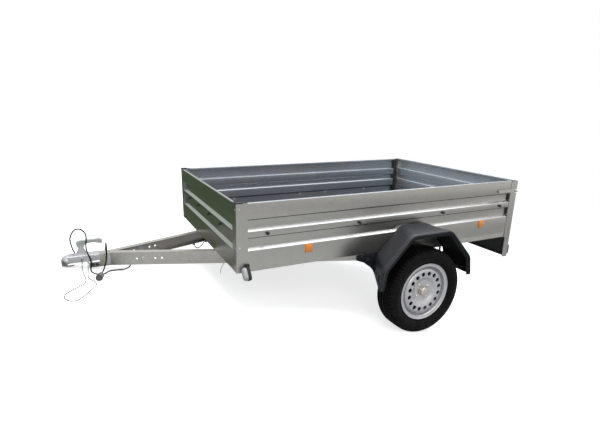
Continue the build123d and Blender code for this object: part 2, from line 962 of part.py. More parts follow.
# Tailgate latches on the upper band: a flat bar on two studs.
latch_front = -1912
latch_rear = -2070
latch_height = 22
latch_gap = 4
latch_sheet = 6
with BuildPart() as latch_left:
    with BuildSketch(along(half_width + latch_gap)):
        with Locations(((latch_front + latch_rear) / 2, latch_z + 9)):
            SlotOverall(latch_front - latch_rear, latch_height)
    extrude(amount=-latch_sheet)
    with BuildSketch(along(half_width)):
        with Locations((latch_front - 20, latch_z + 9), (latch_front - 70, latch_z + 9)):
            Circle(8)
    extrude(amount=-latch_gap - latch_sheet)
save(latch_left, "latch_left")

with BuildPart() as latch_right:
    mirror(latch_left.part, about=Plane.XZ)
save(latch_right, "latch_right")

# Front position lamps at the front corners' feet: an oval black cup that leans outward on its
# mount, with a white lens to the front.
marker_y = half_width + 38
marker_x = -42
marker_z = 6
marker_height = 76
marker_width = 42
marker_lean = 40
marker_cup = 20
marker_mount = 10
lens_depth = 24
lens_edge = 14
with BuildPart() as marker_lamp_left:
    with BuildSketch(across(marker_x)):
        with Locations((marker_y, marker_z)):
            RectangleRounded(marker_width, marker_height, 20, rotation=marker_lean)
    extrude(amount=-marker_cup)
    with BuildSketch(along(half_width + marker_mount)):
        with Locations((marker_x - 14, 28)):
            Rectangle(28, 36)
    extrude(amount=marker_mount)
save(marker_lamp_left, "marker_lamp_left")

with BuildPart() as marker_lamp_right:
    mirror(marker_lamp_left.part, about=Plane.XZ)
save(marker_lamp_right, "marker_lamp_right")

with BuildPart() as marker_lenses:
    with BuildSketch(across(marker_x)):
        with Locations((marker_y, marker_z)):
            RectangleRounded(marker_width - 4, marker_height - 4, 18, rotation=marker_lean)
    extrude(amount=lens_depth)
    front_face = marker_lenses.faces().sort_by(Axis(stand(0, 0, 0), chassis.x_dir))[-1]
    fillet(front_face.edges(), lens_edge)
    mirror(about=Plane.XZ)
save(marker_lenses, "marker_lenses")

# ---------------------------------------------------------------- cables

cable_diameter = 8
wire_diameter = 4
harness_diameter = 6
gland_front = 548
gland_rear = 536
gland_tip = 524
gland_z = beam_top - beam_height / 2
clip_side = 14
clip_drop = 12
clip_places = [(28, -205), (-65, -232)]


def web_inside(x):
    """Half-width between the insides of the drawbar's webs at length x."""
    return beam_face(x) - beam_sheet * hypot(1, beam_spread)


# Guides: the bung in the drawbar's V with the cable's gland, and the two clips under the
# right beam that hold the harness by the front wall.
with BuildPart() as cable_guides:
    with BuildSketch(level(beam_top - beam_height + beam_sheet)):
        with BuildLine():
            Polyline(
                (gland_rear, web_inside(gland_rear)),
                (gland_front, web_inside(gland_front)),
                (gland_front, -web_inside(gland_front)),
                (gland_rear, -web_inside(gland_rear)),
                close=True,
            )
        make_face()
    extrude(amount=beam_height - 2 * beam_sheet)
    with BuildSketch(across(gland_rear)):
        with Locations((0, gland_z)):
            Circle(10)
    extrude(amount=gland_tip - gland_rear, taper=8)
    with BuildSketch(level(beam_top - beam_height)):
        with Locations(*clip_places):
            Rectangle(clip_side, clip_side)
    extrude(amount=-clip_drop)
save(cable_guides, "cable_guides")

# Routes of the free cords as they lie: x, y, z as the trailer stands.
cable_route = [
    (1155, 0, 88),
    (1131, 0, 93),
    (1106, 1, 84),
    (1090, 2, 62),
    (1090, 4, 35),
    (1107, 8, 14),
    (1136, 14, 6),
    (1168, 22, 5),
    (1199, 38, 5),
    (1223, 62, 5),
    (1237, 93, 5),
    (1250, 114, 6),
    (1273, 124, 7),
    (1297, 119, 8),
    (1315, 102, 11),
    (1320, 79, 22),
    (1318, 64, 43),
    (1324, 57, 66),
    (1336, 54, 87),
    (1348, 48, 107),
    (1357, 38, 128),
    (1361, 30, 150),
    (1362, 28, 176),
    (1366, 28, 204),
    (1381, 26, 228),
    (1406, 17, 238),
    (1430, 0, 226),
    (1443, -22, 194),
    (1447, -42, 151),
    (1433, -56, 111),
    (1416, -66, 73),
    (1392, -76, 43),
    (1356, -84, 19),
    (1317, -80, 6),
    (1283, -70, 11),
    (1258, -59, 32),
    (1246, -51, 62),
    (1243, -46, 91),
    (1244, -46, 116),
    (1247, -40, 139),
    (1250, -23, 156),
    (1252, 0, 161),
    (1250, 23, 156),
    (1248, 41, 139),
    (1245, 50, 115),
    (1242, 55, 90),
    (1241, 62, 66),
    (1245, 75, 45),
    (1250, 95, 32),
    (1256, 118, 25),
    (1262, 140, 20),
]
wire_route = [
    (1336, 42, 50),
    (1335, 45, 40),
    (1333, 52, 26),
    (1332, 66, 11),
    (1332, 94, 4),
    (1334, 129, 3),
    (1332, 166, 3),
    (1322, 202, 3),
    (1303, 228, 3),
    (1291, 256, 3),
    (1297, 290, 3),
    (1311, 324, 3),
    (1327, 364, 3),
    (1347, 412, 3),
    (1368, 462, 3),
    (1393, 502, 3),
    (1423, 512, 3),
    (1446, 490, 3),
    (1451, 453, 3),
    (1439, 411, 3),
    (1415, 367, 3),
    (1386, 324, 3),
    (1361, 284, 3),
    (1347, 245, 3),
    (1345, 206, 3),
    (1349, 166, 3),
    (1354, 129, 3),
    (1359, 96, 5),
    (1363, 71, 14),
    (1366, 56, 30),
    (1368, 47, 46),
    (1370, 43, 57),
    (1372, 42, 65),
]
harness_route = [
    (654, -205, 145),
    (650, -206, 134),
    (639, -209, 123),
    (621, -213, 122),
    (605, -218, 134),
    (594, -223, 148),
    (586, -227, 159),
    (581, -230, 168),
]


def cord(name, route, diameter):
    """Round cord along straight runs joined by arcs, each as large as its two runs allow."""
    points = [Vector(*place) for place in route]
    runs = [end - start for start, end in zip(points, points[1:])]
    radii = [
        0.45 * min(before.length, after.length) / tan(radians(before.get_angle(after)) / 2)
        for before, after in zip(runs, runs[1:])
    ]
    with BuildPart() as tube:
        with BuildLine() as path:
            FilletPolyline(*points, radius=radii)
        with BuildSketch(Plane(origin=points[0], z_dir=runs[0])):
            Circle(diameter / 2)
        sweep()
    section = pi * diameter**2 / 4
    length = path.wires()[0].length
    print(name, "length", round(length), "radii", [round(radius) for radius in radii])
    print(name, "volume over section times length", round(tube.part.volume / section / length, 4))
    return tube


save(cord("electric_cable", cable_route, cable_diameter), "electric_cable")
save(cord("safety_wire", wire_route, wire_diameter), "safety_wire")
save(cord("harness_loop", harness_route, harness_diameter), "harness_loop")

# Plug on the cable's end, lying on the ground: sleeve, body and collar by distance, radius.
plug_start = Vector(*cable_route[-1])
plug_aim = Vector(0.24, 0.97, 0).normalized()
plug_profile = [
    (1.5, 0),
    (1.5, 7),
    (24, 10),
    (27, 17),
    (34, 18.5),
    (62, 18.5),
    (62, 19.5),
    (76, 19.5),
    (78, 17),
    (78, 0),
]
with BuildPart() as plug:
    with BuildSketch(Plane(origin=plug_start, x_dir=plug_aim, z_dir=(0.97, -0.24, 0))):
        with BuildLine():
            Polyline(*plug_profile, close=True)
        make_face()
    revolve(axis=Axis(plug_start, plug_aim))
save(plug, "plug")
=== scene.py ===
import json
import math

import bmesh
import bpy
import numpy as np
from mathutils import Matrix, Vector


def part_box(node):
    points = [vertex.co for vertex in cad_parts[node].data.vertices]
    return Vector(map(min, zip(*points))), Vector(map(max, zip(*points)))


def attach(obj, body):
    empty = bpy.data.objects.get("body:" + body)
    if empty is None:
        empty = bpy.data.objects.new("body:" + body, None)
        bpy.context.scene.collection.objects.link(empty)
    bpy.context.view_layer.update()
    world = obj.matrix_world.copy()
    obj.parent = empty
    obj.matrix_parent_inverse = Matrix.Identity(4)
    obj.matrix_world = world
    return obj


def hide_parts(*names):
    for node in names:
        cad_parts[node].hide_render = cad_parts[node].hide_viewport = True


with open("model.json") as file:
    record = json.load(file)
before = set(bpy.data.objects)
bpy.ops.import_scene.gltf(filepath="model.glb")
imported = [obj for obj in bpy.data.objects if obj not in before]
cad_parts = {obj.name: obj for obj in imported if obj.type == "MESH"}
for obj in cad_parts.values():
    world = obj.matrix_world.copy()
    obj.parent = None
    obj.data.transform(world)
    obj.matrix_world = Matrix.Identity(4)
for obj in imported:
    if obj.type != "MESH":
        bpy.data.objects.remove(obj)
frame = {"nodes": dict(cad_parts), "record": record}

bl_info = {
    "name": "Box trailer finish",
    "version": (1, 0, 0),
    "blender": (4, 5, 0),
    "location": "View3D > Sidebar > Trailer",
    "description": "Tyres, wheels, folded walls, lamps, cables and finishes of a single-axle box trailer",
    "category": "Object",
}

# ---- sizes

MM = 0.001
# How the trailer stands: nose down by PITCH about its wheels, whose centre is at a level place
# and at a row place. Level places are x forward from the box, y left, z up from the wall's foot.
PITCH = 0.21981387
WHEEL_LEVEL = np.array([-1.145, 0.0, -0.226])
WHEEL_ROW = np.array([-0.5134762, 0.0, 0.273])
LEVEL_X = np.array([math.cos(PITCH), 0.0, -math.sin(PITCH)])
LEVEL_Y = np.array([0.0, 1.0, 0.0])
LEVEL_Z = np.array([math.sin(PITCH), 0.0, math.cos(PITCH)])

# Half the box's width, the walls' height, and how far out each rim's middle is.
HALF_WIDTH, WALL_TOP, RIM_CENTRE = 0.650, 0.380, 0.7865
SIDES = (("left", 1.0), ("right", -1.0))
# Level ways, and the three ways of what sticks out of a side, of the front and of the floor.
X_WAY, Y_WAY, Z_WAY = (1, 0, 0), (0, 1, 0), (0, 0, 1)
OUT = (X_WAY, Z_WAY, Y_WAY)
AHEAD = (Y_WAY, Z_WAY, X_WAY)
UP = (X_WAY, Y_WAY, Z_WAY)


def stand(points):
    """Row places of level places: turned by the pitch about the wheels' centre."""
    local = np.asarray(points, float) - WHEEL_LEVEL
    return WHEEL_ROW + local @ np.array([LEVEL_X, LEVEL_Y, LEVEL_Z])


# ---- shapes from arrays


def quads(rows, columns, ring=False):
    """Faces of rows of closed rings of points, or with ring of a ring of them: each cell joins
    a point to its next row and column."""
    grid = np.arange(rows * columns).reshape(rows, columns)
    grid = np.hstack([grid, grid[:, :1]])
    if ring:
        grid = np.vstack([grid, grid[:1]])
    return np.stack([grid[:-1, :-1], grid[:-1, 1:], grid[1:, 1:], grid[1:, :-1]], -1).reshape(-1, 4)


def lifted(flat, levels):
    """Flat outline repeated at each level, which is the third coordinate."""
    return np.column_stack([np.tile(flat, (len(levels), 1)), np.repeat(levels, len(flat))])


def together(spots, faces):
    """Copies of one part's points in a single part, with the faces of them all."""
    every = [faces + number * len(spots[0]) for number in range(len(spots))]
    return np.concatenate(spots), np.concatenate(every)


def turned(profile, sides, turn=0.0):
    """Profile of (radius, height) pairs turned about local z: (r cos a, r sin a, h)."""
    profile = np.asarray(profile, float)
    angle = turn + np.arange(sides) * 2 * np.pi / sides
    x = profile[:, :1] * np.cos(angle)
    y = profile[:, :1] * np.sin(angle)
    z = np.repeat(profile[:, 1:], sides, 1)
    return np.stack([x, y, z], -1).reshape(-1, 3), quads(len(profile), sides)


def rounded(points, radius, steps=4):
    """Line with each corner eased: a parabola from one run to the next, whose ends lie
    radius x tan(half the turn) from the corner, or less on a short run."""
    runs = np.diff(points, axis=0)
    length = np.linalg.norm(runs, axis=1)
    way = runs / length[:, None]
    turn = np.arccos(np.clip(np.sum(way[:-1] * way[1:], 1), -1, 1))
    ease = np.minimum(radius * np.tan(turn / 2), 0.45 * np.minimum(length[:-1], length[1:]))
    t = np.linspace(0, 1, steps + 1)[None, :, None]
    corner = points[1:-1, None]
    start = corner - (way[:-1] * ease[:, None])[:, None]
    end = corner + (way[1:] * ease[:, None])[:, None]
    arcs = (1 - t) ** 2 * start + 2 * t * (1 - t) * corner + t**2 * end
    return np.concatenate([points[:1], arcs.reshape(-1, points.shape[1]), points[-1:]])


def sideways(points):
    """Unit normals of a flat line, to the right of its way."""
    slope = np.gradient(points, axis=0)
    slope /= np.maximum(np.linalg.norm(slope, axis=1, keepdims=True), 1e-12)
    return np.stack([slope[:, 1], -slope[:, 0]], -1)


def shifted(points, amount):
    """Line moved to its right by amount, each corner mitred: the mean normal over its cosine."""
    runs = np.diff(points, axis=0)
    way = runs / np.linalg.norm(runs, axis=1, keepdims=True)
    normal = np.stack([way[:, 1], -way[:, 0]], -1)
    before = np.concatenate([normal[:1], normal])
    after = np.concatenate([normal, normal[-1:]])
    mean = before + after
    return points + amount * 2 * mean / np.sum(mean * mean, 1, keepdims=True)


def sheet_section(points, sheet, radius):
    """Closed section of folded sheet: its outer line, and back along its inner line."""
    middle = rounded(shifted(points, sheet / 2), radius)
    normal = sideways(middle) * sheet / 2
    return np.concatenate([middle - normal, (middle + normal)[::-1]])


def sheet_faces(rows, count):
    """Faces of a closed section carried along rows, and closed at both ends with a strip
    between its two halves: the faces of its first half with the ends, and of its second."""
    half = count // 2
    around = quads(rows, count)
    second = (around[:, 0] % count >= half) & (around[:, 0] % count < count - 1)
    first = np.arange(half - 1)
    strip = np.stack([first, first + 1, count - 2 - first, count - 1 - first], -1)
    ends = np.concatenate([strip, strip[:, ::-1] + count * (rows - 1)])
    return np.concatenate([around[~second], ends]), around[second]


def drawn_out(section, stations, seat, special=None):
    """Closed section set at each station, which is the third local coordinate. seat puts
    local places in the row. Its first half has material number 0, its second half 1, and
    the edges that special picks, from their middles and ways, have their own."""
    count = len(section)
    points = seat(lifted(section, stations))
    outer, inner = sheet_faces(len(stations), count)
    after = np.roll(section, -1, 0)
    middle, way = (section + after) / 2, after - section
    way = way / np.maximum(np.linalg.norm(way, axis=1, keepdims=True), 1e-12)
    parts = []
    for base, faces in enumerate((outer, inner)):
        number = np.full(len(faces), base)
        if special is not None:
            number = special(middle, way, base)[faces[:, 0] % count]
        parts += [(points, faces[number == value], int(value)) for value in np.unique(number)]
    return parts


def seated(origin, first, second, third):
    """Function that puts local places at a level origin along three level directions."""
    axes = np.array([first, second, third], float)
    start = np.array(origin, float)
    return lambda local: stand(start + np.asarray(local) @ axes)


def copies(part, origins, *ways):
    """One part at many level origins, turned to three level ways."""
    points, faces = part
    return together([seated(origin, *ways)(points) for origin in origins], faces)


def mirrored(part):
    """A part and its mirror image on the other side of the trailer."""
    points, faces, *number = part
    other = points * np.array([1.0, -1.0, 1.0])
    return [part, (other, faces[:, ::-1], *number)]


def both(parts):
    """Parts and their mirror images."""
    return [half for part in parts for half in mirrored(part)]


def table(text):
    """Rows of numbers, each row's parted by spaces, as an array."""
    return np.array([[float(value) for value in row.split()] for row in text.split(",")])


def lathe(text, sides):
    """Table of radii and heights in millimetres, turned about local z."""
    return turned(table(text) * MM, sides)


def set_at(part, text, axes):
    """Copies of a part at the level places of a table in millimetres, turned to three axes."""
    return copies(part, table(text) * MM, *axes)


def oval(width, height, radius, steps):
    """Rounded rectangle as (first, second) places, anticlockwise."""
    corner = np.array([[1, 1], [-1, 1], [-1, -1], [1, -1]], float)
    turn = np.linspace(0, np.pi / 2, steps)[None, :] + (np.arange(4) * np.pi / 2)[:, None]
    arc = np.stack([np.cos(turn), np.sin(turn)], -1) * radius
    return (corner[:, None] * (np.array([width, height]) / 2 - radius) + arc).reshape(-1, 2)


def stack(width, depth, radius, layers, steps, rise=0.0):
    """Closed stack of rounded rectangles, each an inset and a level, drawn in to the middle
    at its foot and, with a rise, at its top."""
    rings = [oval(width - 2 * inset, depth - 2 * inset, radius - inset, steps) for inset, _ in layers]
    middle = np.zeros((4 * steps, 2))
    levels = [layers[0][1], *(level for _, level in layers), layers[-1][1] + rise]
    flat = np.concatenate([middle, *rings, middle])
    local = np.column_stack([flat, np.repeat(levels, 4 * steps)])
    return local, quads(len(levels), 4 * steps)


def block(middle, axes, size, ease=0.15):
    """Box with eased edges: a stack of rounded rectangles, drawn in at both ends."""
    width, depth, height = size
    small, top = ease * min(size), height / 2
    layers = [(small * 0.6, -top), (0, small - top), (0, top - small), (small * 0.6, top)]
    local, faces = stack(width, depth, small, layers, 3)
    return np.array(middle) + local @ np.array(axes, float), faces


def boxes(text, ease=0.15):
    """Eased boxes, each a level middle and a size along x, y and z, from a table in
    millimetres."""
    blocks = [block(row[:3], np.eye(3), row[3:], ease) for row in table(text) * MM]
    return [(stand(points), faces) for points, faces in blocks]


def placed(piece, body, replaces=()):
    """Piece put in the scene, on its body and the nodes that it replaces."""
    bpy.context.scene.collection.objects.link(piece)
    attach(piece, body)
    if replaces:
        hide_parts(*replaces)
    return piece


def make(name, parts, materials, body, slot=None, replaces=(), sharp=35.0, merge=1e-6):
    """Mesh object from (points, faces) or (points, faces, material number) parts, with its
    doubled points merged, its normals outward, and its edges sharp past an angle."""
    points, faces, numbers, start = [], [], [], 0
    for part in parts:
        points.append(part[0])
        faces.extend((part[1] + start).tolist())
        numbers.append(np.full(len(part[1]), part[2] if len(part) > 2 else 0))
        start += len(part[0])
    mesh = bpy.data.meshes.new(name)
    mesh.from_pydata(np.concatenate(points).tolist(), [], faces)
    mesh.polygons.foreach_set("material_index", np.concatenate(numbers).astype(np.int32))
    shell = bmesh.new()
    shell.from_mesh(mesh)
    bmesh.ops.remove_doubles(shell, verts=shell.verts, dist=merge)
    bmesh.ops.recalc_face_normals(shell, faces=shell.faces)
    shell.to_mesh(mesh)
    shell.free()
    mesh.shade_smooth()
    mesh.set_sharp_from_angle(angle=math.radians(sharp))
    for material in materials:
        mesh.materials.append(bpy.data.materials[material])
    return placed(bpy.data.objects.new(name, mesh), body, replaces)


def make_pair(prefix, parts, materials, slot, replaced, **how):
    """Piece of the chassis on the left side and its mirror image on the right."""
    for number, (name, _) in enumerate(SIDES):
        half = [mirrored(part)[number] for part in parts]
        make(prefix + name, half, materials, "chassis", slot, [replaced + name], **how)


# ---- shader groups


class Value:
    """A node's output. Sums, differences, products and quotients with it are Math nodes."""

    def __init__(self, socket):
        self.socket = socket

    def beside(self, key):
        """Another output of the same node."""
        return Value(self.socket.node.outputs[key])

    def __add__(self, other):
        return maths("ADD", self, other)

    def __radd__(self, other):
        return maths("ADD", other, self)

    def __sub__(self, other):
        return maths("SUBTRACT", self, other)

    def __rsub__(self, other):
        return maths("SUBTRACT", other, self)

    def __mul__(self, other):
        return maths("MULTIPLY", self, other)

    def __truediv__(self, other):
        return maths("DIVIDE", self, other)

    def __abs__(self):
        return maths("ABSOLUTE", self)


def joined(made, **inputs):
    """Sets a node's inputs to numbers or results, by name, with _ for a space, or by number,
    as i0 and i1."""
    for key, value in inputs.items():
        wanted = int(key[1:]) if key[0] == "i" and key[1:].isdigit() else key.replace("_", " ")
        if isinstance(value, Value):
            made.id_data.links.new(value.socket, made.inputs[wanted])
        else:
            made.inputs[wanted].default_value = value


def node(tree, kind, settings=None, output=0, **inputs):
    """Output of a new node of a kind, with its settings and inputs."""
    made = tree.nodes.new("ShaderNode" + kind)
    for key, value in (settings or {}).items():
        setattr(made, key, value)
    joined(made, **inputs)
    return Value(made.outputs[output])


def onward(value, kind, settings=None, output=0, **inputs):
    """Output of a new node in the same tree as a result."""
    return node(value.socket.id_data, kind, settings, output, **inputs)


def maths(how, first, second=0.5):
    """Result of a Math node."""
    given = first if isinstance(first, Value) else second
    return onward(given, "Math", {"operation": how}, i0=first, i1=second)


def group(name, outputs, **inputs):
    """New shader group: its tree, its inner inputs by name, and its end. What is called
    Color is a colour, and the rest are numbers."""
    tree = bpy.data.node_groups.new(name, "ShaderNodeTree")
    for way, keys in (("INPUT", inputs), ("OUTPUT", outputs)):
        for key in keys:
            kind = "NodeSocketColor" if key == "Color" else "NodeSocketFloat"
            socket = tree.interface.new_socket(key, in_out=way, socket_type=kind)
            if way == "INPUT":
                socket.default_value = inputs[key]
    start = tree.nodes.new("NodeGroupInput").outputs
    return tree, {key: Value(start[key]) for key in inputs}, tree.nodes.new("NodeGroupOutput")


def used(tree, name, **inputs):
    """A group placed in a material with its own values."""
    return node(tree, "Group", {"node_tree": bpy.data.node_groups[name]}, **inputs)


def mixed(share, first, second):
    """Result of a colour mix."""
    return onward(share, "Mix", {"data_type": "RGBA"}, 2, i0=share, i6=first, i7=second)


def scaled(vector, scale):
    """Vector or colour times a result."""
    return onward(scale, "VectorMath", {"operation": "SCALE"}, Vector=vector, Scale=scale)


def spread(value, low, high, new_low, new_high):
    """Value carried from one range to another, and held to it."""
    ends = {"From_Min": low, "From_Max": high, "To_Min": new_low, "To_Max": new_high}
    return onward(value, "MapRange", Value=value, **ends)


def place_of(tree, turn=0.0, finer=(1.0, 1.0, 1.0)):
    """Object coordinates, turned back about y by an angle and made finer along each axis."""
    where = node(tree, "TexCoord", output="Object")
    size = {"Rotation": (0.0, turn, 0.0), "Scale": tuple(1 / share for share in finer)}
    return node(tree, "Mapping", {"vector_type": "TEXTURE"}, Vector=where, **size)


def cloud(where, scale, detail, rough=0.5):
    """Value of a noise."""
    return onward(where, "TexNoise", Vector=where, Scale=scale, Detail=detail, Roughness=rough)


def squares(where, scale, randomness):
    """Value of square cells: the distance from each cell's middle."""
    look = {"Vector": where, "Scale": scale, "Randomness": randomness}
    return onward(where, "TexVoronoi", {"distance": "CHEBYCHEV"}, **look)


def bumped(height, strength, distance):
    """Normal of a Bump node."""
    return onward(height, "Bump", Height=height, Strength=strength, Distance=distance)


def build_groups():
    """The effects that several finishes share."""
    # Zinc spangle: the colour of the flakes, and their value round 0.
    tree, given, end = group(
        "zinc_spangle", ["Color", "Value"], Color=(0.5, 0.5, 0.5, 1.0), Cell=90.0, Depth=0.1
    )
    where = place_of(tree)
    cells = node(tree, "TexVoronoi", output="Color", Vector=where, Scale=given["Cell"])
    flake = node(tree, "SeparateColor", Color=cells)
    value = flake * 0.55 + cloud(where, 9.0, 4.0, 0.6) * 0.9 - 0.725
    joined(end, Color=scaled(given["Color"], 1.0 + value * given["Depth"]), Value=value)

    # Rolling lines along the sheet.
    tree, _, end = group("rolled_lines", ["Value"])
    joined(end, Value=cloud(place_of(tree, PITCH, (1.2, 1.2, 190.0)), 1.0, 5.0, 0.7) - 0.5)

    # Fine grain: its height, and the value of broad clouds round 0.
    tree, given, end = group("fine_grain", ["Height", "Value"], Scale=600.0, Soft=0.5)
    where = place_of(tree)
    height = cloud(where, given["Scale"], 3.0, given["Soft"])
    joined(end, Height=height, Value=cloud(where, 14.0, 3.0) - 0.5)

    # Road dust: thicker towards the ground, in patches.
    tree, given, end = group("road_dust", ["Mask"], Height=0.35, Amount=0.3)
    where = place_of(tree)
    low = 1.0 - node(tree, "SeparateXYZ", output="Z", Vector=where) / given["Height"]
    patches = spread(cloud(where, 22.0, 6.0, 0.65), 0.4, 0.75, 0.0, 1.0)
    joined(end, Mask=spread(low, 0.0, 1.0, 0.15, 1.0) * patches * given["Amount"])

    # Handling marks: thin slanted lines where a long noise crosses its middle, in spots.
    tree, given, end = group("handling_marks", ["Mask"], Scale=40.0, Amount=0.3)
    long = cloud(place_of(tree, 0.6, (1.0, 1.0, 0.12)), given["Scale"], 8.0, 0.75)
    thin = spread(abs(long - 0.5), 0.0, 0.012, 1.0, 0.0)
    spots = spread(cloud(place_of(tree), 7.0, 2.0), 0.48, 0.66, 0.0, 1.0)
    joined(end, Mask=thin * spots * given["Amount"])


# ---- finishes

DUST = (0.34, 0.31, 0.27, 1.0)
RUBBER_DUST = (0.16, 0.145, 0.12, 1.0)
BRIGHT_SCRATCH = (0.72, 0.72, 0.70, 1.0)
RUBBER_SCUFF = (0.09, 0.088, 0.085, 1.0)
BOARD_SCRATCH = (0.3, 0.26, 0.22, 1.0)
# Painted shade under the two creases of a side wall: their heights, half-width and tone.
CREASES = (0.1850, 0.2860)
CREASE_HALF, CREASE_SHADE_TONE = 0.0026, 0.16


def bare(name):
    """New material: itself, and its tree and its output, with nothing else in the tree."""
    material = bpy.data.materials.new(name)
    material.use_nodes = True
    tree = material.node_tree
    tree.nodes.clear()
    return material, tree, tree.nodes.new("ShaderNodeOutputMaterial")


def blank(name):
    """New material: its tree and the Principled shader joined to its output."""
    _, tree, end = bare(name)
    shader = tree.nodes.new("ShaderNodeBsdfPrincipled")
    joined(end, Surface=Value(shader.outputs[0]))
    return tree, shader


def level_height(tree):
    """Height above the walls' foot, square to the floor: the place times the level z way."""
    places = {"i0": node(tree, "TexCoord", output="Object"), "i1": tuple(LEVEL_Z)}
    rise = node(tree, "VectorMath", {"operation": "DOT_PRODUCT"}, "Value", **places)
    return rise - float(WHEEL_ROW @ LEVEL_Z - WHEEL_LEVEL[2])


def metal(name, colour, rough, cell, depth, lines, dust, relief, metallic, creases=()):
    """Metal: spangle, rolling lines, scratches and road dust, and a painted shade
    under a crease at each of some heights."""
    tree, shader = blank(name)
    base = used(tree, "zinc_spangle", Color=(*colour, 1.0), Cell=cell, Depth=depth)
    roll = used(tree, "rolled_lines")
    grain = used(tree, "fine_grain", Scale=900.0)
    scratch = used(tree, "handling_marks", Amount=0.2)
    dirt = used(tree, "road_dust", Height=0.42, Amount=dust)
    tone = 1.0 + roll * lines
    # Painted shade: the colour is darkened in a thin band under each crease.
    for crease in creases:
        away = abs(level_height(tree) - crease)
        tone = tone * spread(away, CREASE_HALF, 2 * CREASE_HALF, CREASE_SHADE_TONE, 1.0)
    joined(
        shader,
        Base_Color=mixed(dirt, mixed(scratch, scaled(base, tone), BRIGHT_SCRATCH), DUST),
        Roughness=rough + base.beside("Value") * 0.07 + dirt * 0.45,
        Metallic=(1.0 - dirt) * metallic,
        Normal=bumped(grain * 0.5 + roll * 0.8, relief, 0.0005),
    )


def plastic(name, colour, rough, grain, relief, dust, coat):
    """Moulded plastic or paint: grain, cloudy tone, rubbed lines and road dust."""
    tree, shader = blank(name)
    skin = used(tree, "fine_grain", Scale=grain, Soft=0.6)
    tone = skin.beside("Value")
    scratch = used(tree, "handling_marks", Scale=55.0, Amount=0.22)
    dirt = used(tree, "road_dust", Height=0.5, Amount=dust)
    pale = tuple(0.6 * part + 0.12 for part in colour) + (1.0,)
    worn = mixed(scratch, scaled(colour, 1.0 + tone * 0.45), pale)
    joined(
        shader,
        Base_Color=mixed(dirt, worn, DUST),
        Roughness=tone * 0.18 + (rough + dirt * 0.3),
        Normal=bumped(skin, relief, 0.0004),
        Coat_Weight=coat,
        Coat_Roughness=0.25,
    )


def lens(name, colour, rough, cell, relief):
    """Moulded lamp or reflector plastic: prism cells, cloudy tone and a film of dust."""
    tree, shader = blank(name)
    prisms = squares(place_of(tree, PITCH), cell, 0.0)
    skin = used(tree, "fine_grain", Scale=260.0)
    dirt = used(tree, "road_dust", Height=0.5, Amount=0.16)
    tone = spread(prisms, 0.0, 0.55, 0.72, 1.18) + skin.beside("Value") * 0.3
    joined(
        shader,
        Base_Color=mixed(dirt, scaled(colour, tone), DUST),
        Roughness=rough + dirt * 0.5,
        Normal=bumped(prisms, relief, 0.0012),
        Coat_Weight=0.6,
        Coat_Roughness=0.06,
    )


def rubber(name, colour, rough, dust):
    """Rubber: fine pitting, a lighter tone in patches, scuffs and pale dust near the ground."""
    tree, shader = blank(name)
    skin = used(tree, "fine_grain", Scale=1400.0, Soft=0.7)
    tone = skin.beside("Value")
    dirt = used(tree, "road_dust", Height=0.62, Amount=dust)
    scuff = used(tree, "handling_marks", Scale=90.0, Amount=0.2)
    worn = mixed(scuff, scaled(colour, 1.0 + tone * 0.8), RUBBER_SCUFF)
    joined(
        shader,
        Base_Color=mixed(dirt, worn, RUBBER_DUST),
        Roughness=rough + tone * 0.25,
        Normal=bumped(skin, 0.35, 0.0005),
        Specular_IOR_Level=0.10,
    )


def board(name, colour):
    """Film-faced plywood: long grain under the film, a fine mesh print and scuffs."""
    tree, shader = blank(name)
    grain = cloud(place_of(tree, PITCH, (3.0, 26.0, 26.0)), 2.2, 7.0, 0.62)
    mesh_print = squares(place_of(tree, PITCH), 260.0, 0.05)
    scratch = used(tree, "handling_marks", Scale=30.0, Amount=0.35)
    dirt = used(tree, "road_dust", Height=1.6, Amount=0.3)
    shade = scaled(colour, spread(grain, 0.3, 0.7, 0.72, 1.25))
    joined(
        shader,
        Base_Color=mixed(dirt, mixed(scratch, shade, BOARD_SCRATCH), DUST),
        Roughness=0.42 + grain * 0.2,
        Normal=bumped(mesh_print, 0.4, 0.0005),
    )


def tinted(colour, *shares):
    """Colour with each of its parts times a share."""
    return tuple(part * share for part, share in zip(colour, shares))


